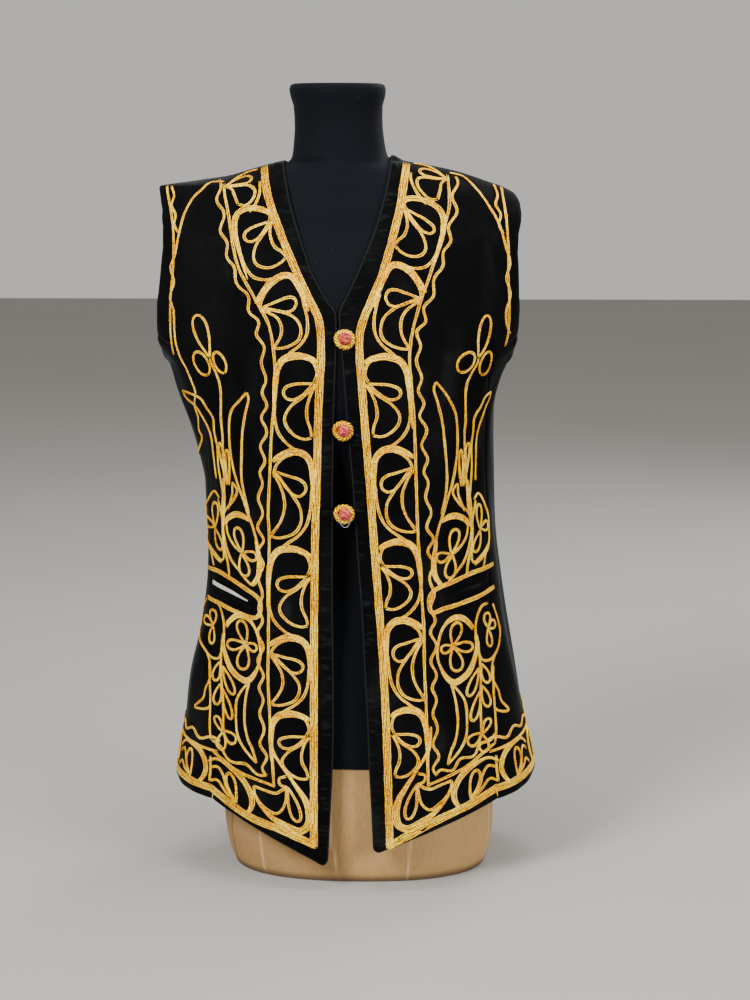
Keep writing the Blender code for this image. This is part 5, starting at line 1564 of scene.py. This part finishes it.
def wrapped(name, heights, inset, cap, deeper=0.0, around=AROUND):
    """A grid wrapped round the form's rings, then closed over the top by the neck cap.

    Above the cover's edge it may lie deeper, where nothing of it shows.
    """
    turn = np.linspace(0, 1, around + 1)
    rows = []
    for z in heights:
        ring = FORM.around(turn, np.full(turn.shape, float(z)))
        out = FORM.normal(ring)
        out[:, 2] = np.maximum(out[:, 2], -0.2)
        out /= np.linalg.norm(out, axis=1, keepdims=True)
        sunk = inset + deeper * min(max((z - COVER_EDGE - 14) / 40, 0), 1)
        rows.append(ring - out * sunk)
    for z, radius in cap:
        angle = 2 * math.pi * turn
        r = radius - inset - deeper if radius > 1 else radius
        rows.append(np.stack((r * np.sin(angle), -r * np.cos(angle),
                              np.full(turn.shape, z - inset)), axis=1))
    piece, _, _ = laid(name, np.array(rows), (0, 0, 0))
    alone(piece)
    bpy.ops.object.mode_set(mode="EDIT")
    bpy.ops.mesh.select_all(action="SELECT")
    bpy.ops.mesh.remove_doubles(threshold=0.00001)
    bpy.ops.mesh.normals_make_consistent(inside=False)
    bpy.ops.object.mode_set(mode="OBJECT")
    return piece


def canvas_paint():
    paint = Paint("tan canvas", 0.62, Specular_IOR_Level=0.35)
    fibre = paint.noise(520, 4.0, stretch=(1, 1, 0.25))
    stain = paint.noise(9, 5.0)
    speck = paint.noise(160, 2.0).band(0.68, 0.78)
    seam = paint.field("strip")
    low = paint.field("low")
    colour = paint.ramp(stain * 0.65 + fibre * 0.35, (0.30, (0.215, 0.116, 0.040)),
                        (0.52, (0.31, 0.182, 0.064)), (0.75, (0.40, 0.245, 0.092)))
    colour = paint.mix(seam * 0.60, colour, (0.56, 0.37, 0.19))
    colour = paint.mix(paint.field("stain") * 0.8, colour, (0.10, 0.040, 0.012))
    colour = paint.mix(low * 0.85, colour, (0.035, 0.021, 0.013))
    colour = paint.mix(speck * 0.3, colour, (0.12, 0.064, 0.026))
    return paint.show(colour, fibre * 0.5 + stain * 0.4 - seam * 0.7, 0.0006, 0.6,
                      rough=0.55 + fibre * 0.2)


def jersey_paint():
    paint = Paint("black jersey", 0.8, Sheen_Weight=0.025, Sheen_Roughness=0.5,
                  Specular_IOR_Level=0.06)
    paint.shader.inputs["Sheen Tint"].default_value = (0.55, 0.62, 0.80, 1.0)
    rib = paint.noise(1700, 2.0, stretch=(1, 1, 0.35))
    slow = paint.noise(14, 3.0)
    lint = paint.noise(260, 2.0).band(0.70, 0.80)
    colour = paint.ramp(rib * 0.6 + slow * 0.4, (0.3, (0.0009, 0.0013, 0.0021)),
                        (0.7, (0.0026, 0.0037, 0.0056)))
    colour = paint.mix(lint * 0.22, colour, (0.04, 0.04, 0.05))
    return paint.show(colour, rib, 0.0003, 0.6, rough=0.72 + slow * 0.15)


BODY_CUTS = np.concatenate((np.linspace(0, 24, 9), np.linspace(30, 145, 30)))
# turn round the body, 0 at the front centre, of the pasted strip seams
STRIP_TURNS = (-0.139, -0.031, 0.083, 0.205, 0.34, 0.47, -0.26, -0.38)
STAIN_TURN = -0.197      # a run of rust down the canvas
GIRTH = 900              # millimetres round the body, for the width of seams and stain
SEAM_HALF, STAIN_HALF = 1.5, 1.8
body = wrapped("form_shell", np.concatenate((BODY_CUTS, np.linspace(160, 800, 60))),
               COVER_WALL + COVER_GAP, ((824, 47.5), (840, 46), (845.5, 40), (845.8, 0.01)),
               4.0, 3 * AROUND)
co = np.zeros(len(body.data.vertices) * 3)
body.data.vertices.foreach_get("co", co)
co = co.reshape(-1, 3) / MM
at_turn = np.arctan2(co[:, 0] - LEAN * co[:, 2], -co[:, 1]) / (2 * math.pi)
strip_near = np.zeros(len(co))
for k, line in enumerate(STRIP_TURNS):
    wander = 0.004 * np.sin(co[:, 2] / 31 + k * 2.1)
    away = (at_turn - line - wander + 0.5) % 1.0 - 0.5
    strip_near = np.maximum(strip_near, np.exp(-(away * GIRTH / SEAM_HALF) ** 2))
mark(body, "strip", strip_near)
wander = 0.012 * np.sin(co[:, 2] / 47) + 0.002 * np.sin(co[:, 2] / 9)
mark(body, "stain", np.exp(-((at_turn - STAIN_TURN - wander) * GIRTH / STAIN_HALF) ** 2))
mark(body, "low", np.clip(1.3 - co[:, 2] / 7.0, 0, 1))
alone(body)
bpy.ops.object.mode_set(mode="EDIT")
bpy.ops.mesh.select_all(action="DESELECT")
bpy.ops.mesh.select_non_manifold()
bpy.ops.mesh.edge_face_add()
bpy.ops.object.mode_set(mode="OBJECT")
bpy.ops.object.shade_smooth_by_angle(angle=math.radians(40))
finished(body, canvas_paint(), "tan_canvas", "form_body")

COVER_CUTS = np.concatenate((np.linspace(COVER_EDGE, COVER_EDGE + 6, 4),
                             np.linspace(140, 690, 90), np.linspace(696, 800, 40)))
cover = wrapped("form_knit", COVER_CUTS, 0.0,
                NECK_CAP[1:] + ((846.8, 42), (846.0, 30), (845.6, 15), (845.6, 0.01)))
thicken(cover, COVER_WALL * MM)
finished(cover, jersey_paint(), "black_jersey", "form_cover")

# %% [markdown]
# ## The cover's area
#
# The cover is a thin sheet stretched over the form; the area of one of its faces
# is printed. The welts and the strip of lining are narrower than a sheet can be,
# so they stay plain pieces.


def face_area(piece):
    """Square metres of one face of a thickened sheet."""
    return 0.5 * sum(face.area for face in piece.data.polygons)


print(f"cover: {face_area(cover):.4f} square metres")

# %% [markdown]
# ## Floor, light and camera
#
# A plain pale floor and large soft lights keep black velvet readable: a broad
# light high on the left, a weaker one on the right, one from above and one from
# behind that draw the edges. The camera stands where the photographer stood, 2.5 m away.

# %% Stage
none_selected()
bpy.ops.mesh.primitive_plane_add(size=14, location=(0, 2.0, 0))
floor = bpy.context.object
floor.name = "floor"
paint = Paint("pale floor", 0.9)
tone = paint.noise(1.4, 2.0)
paint.show(paint.ramp(tone, (0.0, (0.27, 0.26, 0.245)), (1.0, (0.295, 0.285, 0.27))))
floor.data.materials.append(paint.material)

world = bpy.data.worlds.new("soft room")
bpy.context.scene.world = world
world.use_nodes = True
world.node_tree.nodes["Background"].inputs["Color"].default_value = (0.60, 0.58, 0.55, 1.0)
world.node_tree.nodes["Background"].inputs["Strength"].default_value = 0.95

# name, place, aim height, size, watts
LIGHTS = (
    ("key light", (-1.6, -2.4, 2.3), 0.45, 1.1, 205),
    ("fill light", (2.2, -2.0, 1.2), 0.40, 1.3, 90),
    ("top light", (0.2, -0.2, 2.8), 0.50, 1.4, 52),
    ("back light", (1.4, 2.0, 1.9), 0.50, 1.2, 52),
)
for name, at, aim, size, watts in LIGHTS:
    lamp = bpy.data.lights.new(name, "AREA")
    lamp.size = size
    lamp.energy = watts
    holder = bpy.data.objects.new(name, lamp)
    bpy.context.scene.collection.objects.link(holder)
    x, y, z = at
    reach = math.hypot(x, y)
    holder.location = at
    holder.rotation_euler = (math.atan2(reach, z - aim), 0, math.atan2(-x, y) + math.pi)

# %% Camera
FOCAL_PIXELS = 2315
FRAME_HEIGHT = 1000
DISTANCE = 2.5
AZIMUTH = math.radians(2.5)
CAMERA_HEIGHT = 0.79
PITCH = math.radians(8.89)
YAW_OFF = math.atan(15 / FOCAL_PIXELS)

lens = bpy.data.cameras.new("camera")
lens.sensor_width = 36.0
lens.lens = FOCAL_PIXELS / FRAME_HEIGHT * lens.sensor_width
camera = bpy.data.objects.new("camera", lens)
bpy.context.scene.collection.objects.link(camera)
camera.location = (DISTANCE * math.sin(AZIMUTH), -DISTANCE * math.cos(AZIMUTH), CAMERA_HEIGHT)
camera.rotation_euler = (math.pi / 2 - PITCH, 0, AZIMUTH - YAW_OFF)
bpy.context.scene.camera = camera
